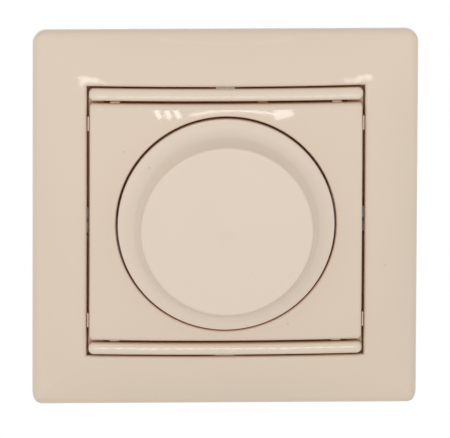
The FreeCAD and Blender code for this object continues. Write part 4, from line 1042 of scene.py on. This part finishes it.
def lamp(name, place, size, power, height=None, turn=0.0, mirrored=True):
    """Area lamp that faces the middle, turned about its own axis.

    The camera doesn't see it, and mirrored tells if gloss does.
    """
    light = bpy.data.lights.new(name, "AREA")
    light.shape = "RECTANGLE"
    light.size = size
    light.size_y = height or size
    light.energy = power
    holder = bpy.data.objects.new(name, light)
    holder.location = place
    holder.rotation_mode = "QUATERNION"
    facing = (Vector() - Vector(place)).to_track_quat("-Z", "Y")
    holder.rotation_quaternion = facing @ Quaternion(OWN_AXIS, turn)
    holder.visible_camera = False
    holder.visible_glossy = mirrored
    bpy.context.collection.objects.link(holder)


def light_window(name, panes):
    """One lamp for each pane."""
    for across, up, width, height, turn, glow in panes:
        lamp(name, (across, WINDOW_DEPTH, up), width, glow * width * height, height=height,
             turn=math.radians(turn))


def seen_white(tree):
    """Factor that is 1 for camera, glossy and transmission rays."""
    rays = node(tree, "ShaderNodeLightPath").outputs
    either = sums(tree, "MAXIMUM", rays["Is Camera Ray"], rays["Is Glossy Ray"])
    return sums(tree, "MAXIMUM", either, rays["Is Transmission Ray"])


def set_camera(setup):
    """Camera at the photograph's viewing angle."""
    camera = bpy.data.objects.new("camera", bpy.data.cameras.new("camera"))
    camera.data.lens = setup.lens
    camera.data.sensor_width = SENSOR_WIDTH
    camera.data.clip_end = VIEW_END
    back = Vector((math.sin(setup.azimuth) * math.cos(setup.elevation),
                   -math.cos(setup.azimuth) * math.cos(setup.elevation),
                   math.sin(setup.elevation)))
    camera.location = CAMERA_AIM + back * setup.distance
    camera.rotation_mode = "QUATERNION"
    facing = (-back).to_track_quat("-Z", "Y")
    camera.rotation_quaternion = facing @ Quaternion(OWN_AXIS, setup.roll)
    bpy.context.collection.objects.link(camera)
    bpy.context.scene.camera = camera


def set_room(ambient):
    """Light from all round, most from the front; camera and reflections see plain white."""
    world = bpy.data.worlds.new("room")
    world.use_nodes = True
    bpy.context.scene.world = world
    tree = world.node_tree
    room = tree.nodes["Background"]
    room.inputs["Color"].default_value = ROOM_COLOUR
    outward = node(tree, "ShaderNodeTexCoord").outputs["Generated"]
    ahead = vectors(tree, "DOT_PRODUCT", {0: outward, 1: ROOM_AHEAD})
    level = sums(tree, "MAXIMUM",
                 sums(tree, "MULTIPLY_ADD", ahead, ROOM_SLOPE, ROOM_LEVEL), ROOM_LEAST)
    tree.links.new(sums(tree, "MULTIPLY", level, ambient), room.inputs["Strength"])
    white = node(tree, "ShaderNodeBackground", {"Color": WHITE, "Strength": 1.0})
    shown = mixed_shader(tree, seen_white(tree), room, white)
    tree.links.new(shown, tree.nodes["World Output"].inputs["Surface"])


def set_floor():
    """Pale floor, which keeps the object's shadow."""
    corners = [(across * FLOOR_REACH, deep * FLOOR_REACH, FLOOR_HEIGHT)
               for across, deep in ((-1, -1), (1, -1), (1, 1), (-1, 1))]
    mesh = bpy.data.meshes.new("floor")
    mesh.from_pydata(corners, [], [(0, 1, 2, 3)])
    floor = bpy.data.objects.new("floor", mesh)
    bpy.context.collection.objects.link(floor)
    material, tree, shader = new_material("pale floor")
    shader.inputs["Base Color"].default_value = (0.9, 0.9, 0.89, 1.0)
    shader.inputs["Roughness"].default_value = 0.9
    glow = node(tree, "ShaderNodeEmission", {"Color": WHITE, "Strength": 1.0})
    share = sums(tree, "MULTIPLY", seen_white(tree), FLOOR_WHITE)
    shown = mixed_shader(tree, share, shader, glow)
    tree.links.new(shown, tree.nodes["Material Output"].inputs["Surface"])
    mesh.materials.append(material)


class DIMMER_OT_stage(Operator):
    """Set the camera, lamps, background and floor"""

    bl_idname = "dimmer.stage"
    bl_label = "Stage"

    def execute(self, context):
        setup = context.scene.dimmer_stage
        context.scene.view_settings.view_transform = "Standard"
        set_camera(setup)
        lamp("front lamp", *FRONT_LAMP, setup.key, mirrored=False)
        lamp("low lamp", *LOW_LAMP, setup.fill, mirrored=False)
        lamp("strip lamp", *STRIP_LAMP, STRIP_POWER, height=STRIP_HEIGHT)
        light_window("window pane", pane_row(SLANTED_PANE, range(3)) + pane_arc() + [SIDE_PANE])
        light_window("low window pane", pane_row(LOW_PANE, range(-14, 15)))
        set_room(setup.ambient)
        set_floor()
        return {"FINISHED"}


OPERATORS = (
    DIMMER_OT_effects, DIMMER_OT_cover_set, DIMMER_OT_carrier, DIMMER_OT_housing,
    DIMMER_OT_potentiometer, DIMMER_OT_board, DIMMER_OT_choke, DIMMER_OT_fuse,
    DIMMER_OT_terminals, DIMMER_OT_claws, DIMMER_OT_stage,
)
SETTINGS = (
    ("dimmer_cover", CoverFinish), ("dimmer_wire", WireSizes), ("dimmer_threads", ThreadSizes),
    ("dimmer_solder", SolderSizes), ("dimmer_stage", StageSetup),
)


class DIMMER_PT_looks(Panel):
    """Lists the settings and the steps that dress the dimmer"""

    bl_idname = "DIMMER_PT_looks"
    bl_label = "Dimmer looks"
    bl_space_type = "VIEW_3D"
    bl_region_type = "UI"
    bl_category = "Dimmer"

    def draw(self, context):
        for name, group in SETTINGS:
            box = self.layout.box()
            for field in group.__annotations__:
                box.prop(getattr(context.scene, name), field)
        for step in OPERATORS:
            self.layout.operator(step.bl_idname)


def register():
    for name, group in SETTINGS:
        bpy.utils.register_class(group)
        setattr(bpy.types.Scene, name, PointerProperty(type=group))
    for item in (*OPERATORS, DIMMER_PT_looks):
        bpy.utils.register_class(item)


def unregister():
    for item in reversed((*OPERATORS, DIMMER_PT_looks)):
        bpy.utils.unregister_class(item)
    for name, group in reversed(SETTINGS):
        delattr(bpy.types.Scene, name)
        bpy.utils.unregister_class(group)


def main():
    """Registers everything and runs each step in order."""
    register()
    for step in OPERATORS:
        getattr(bpy.ops.dimmer, step.bl_idname.split(".")[1])()


if __name__ == "__main__":
    main()
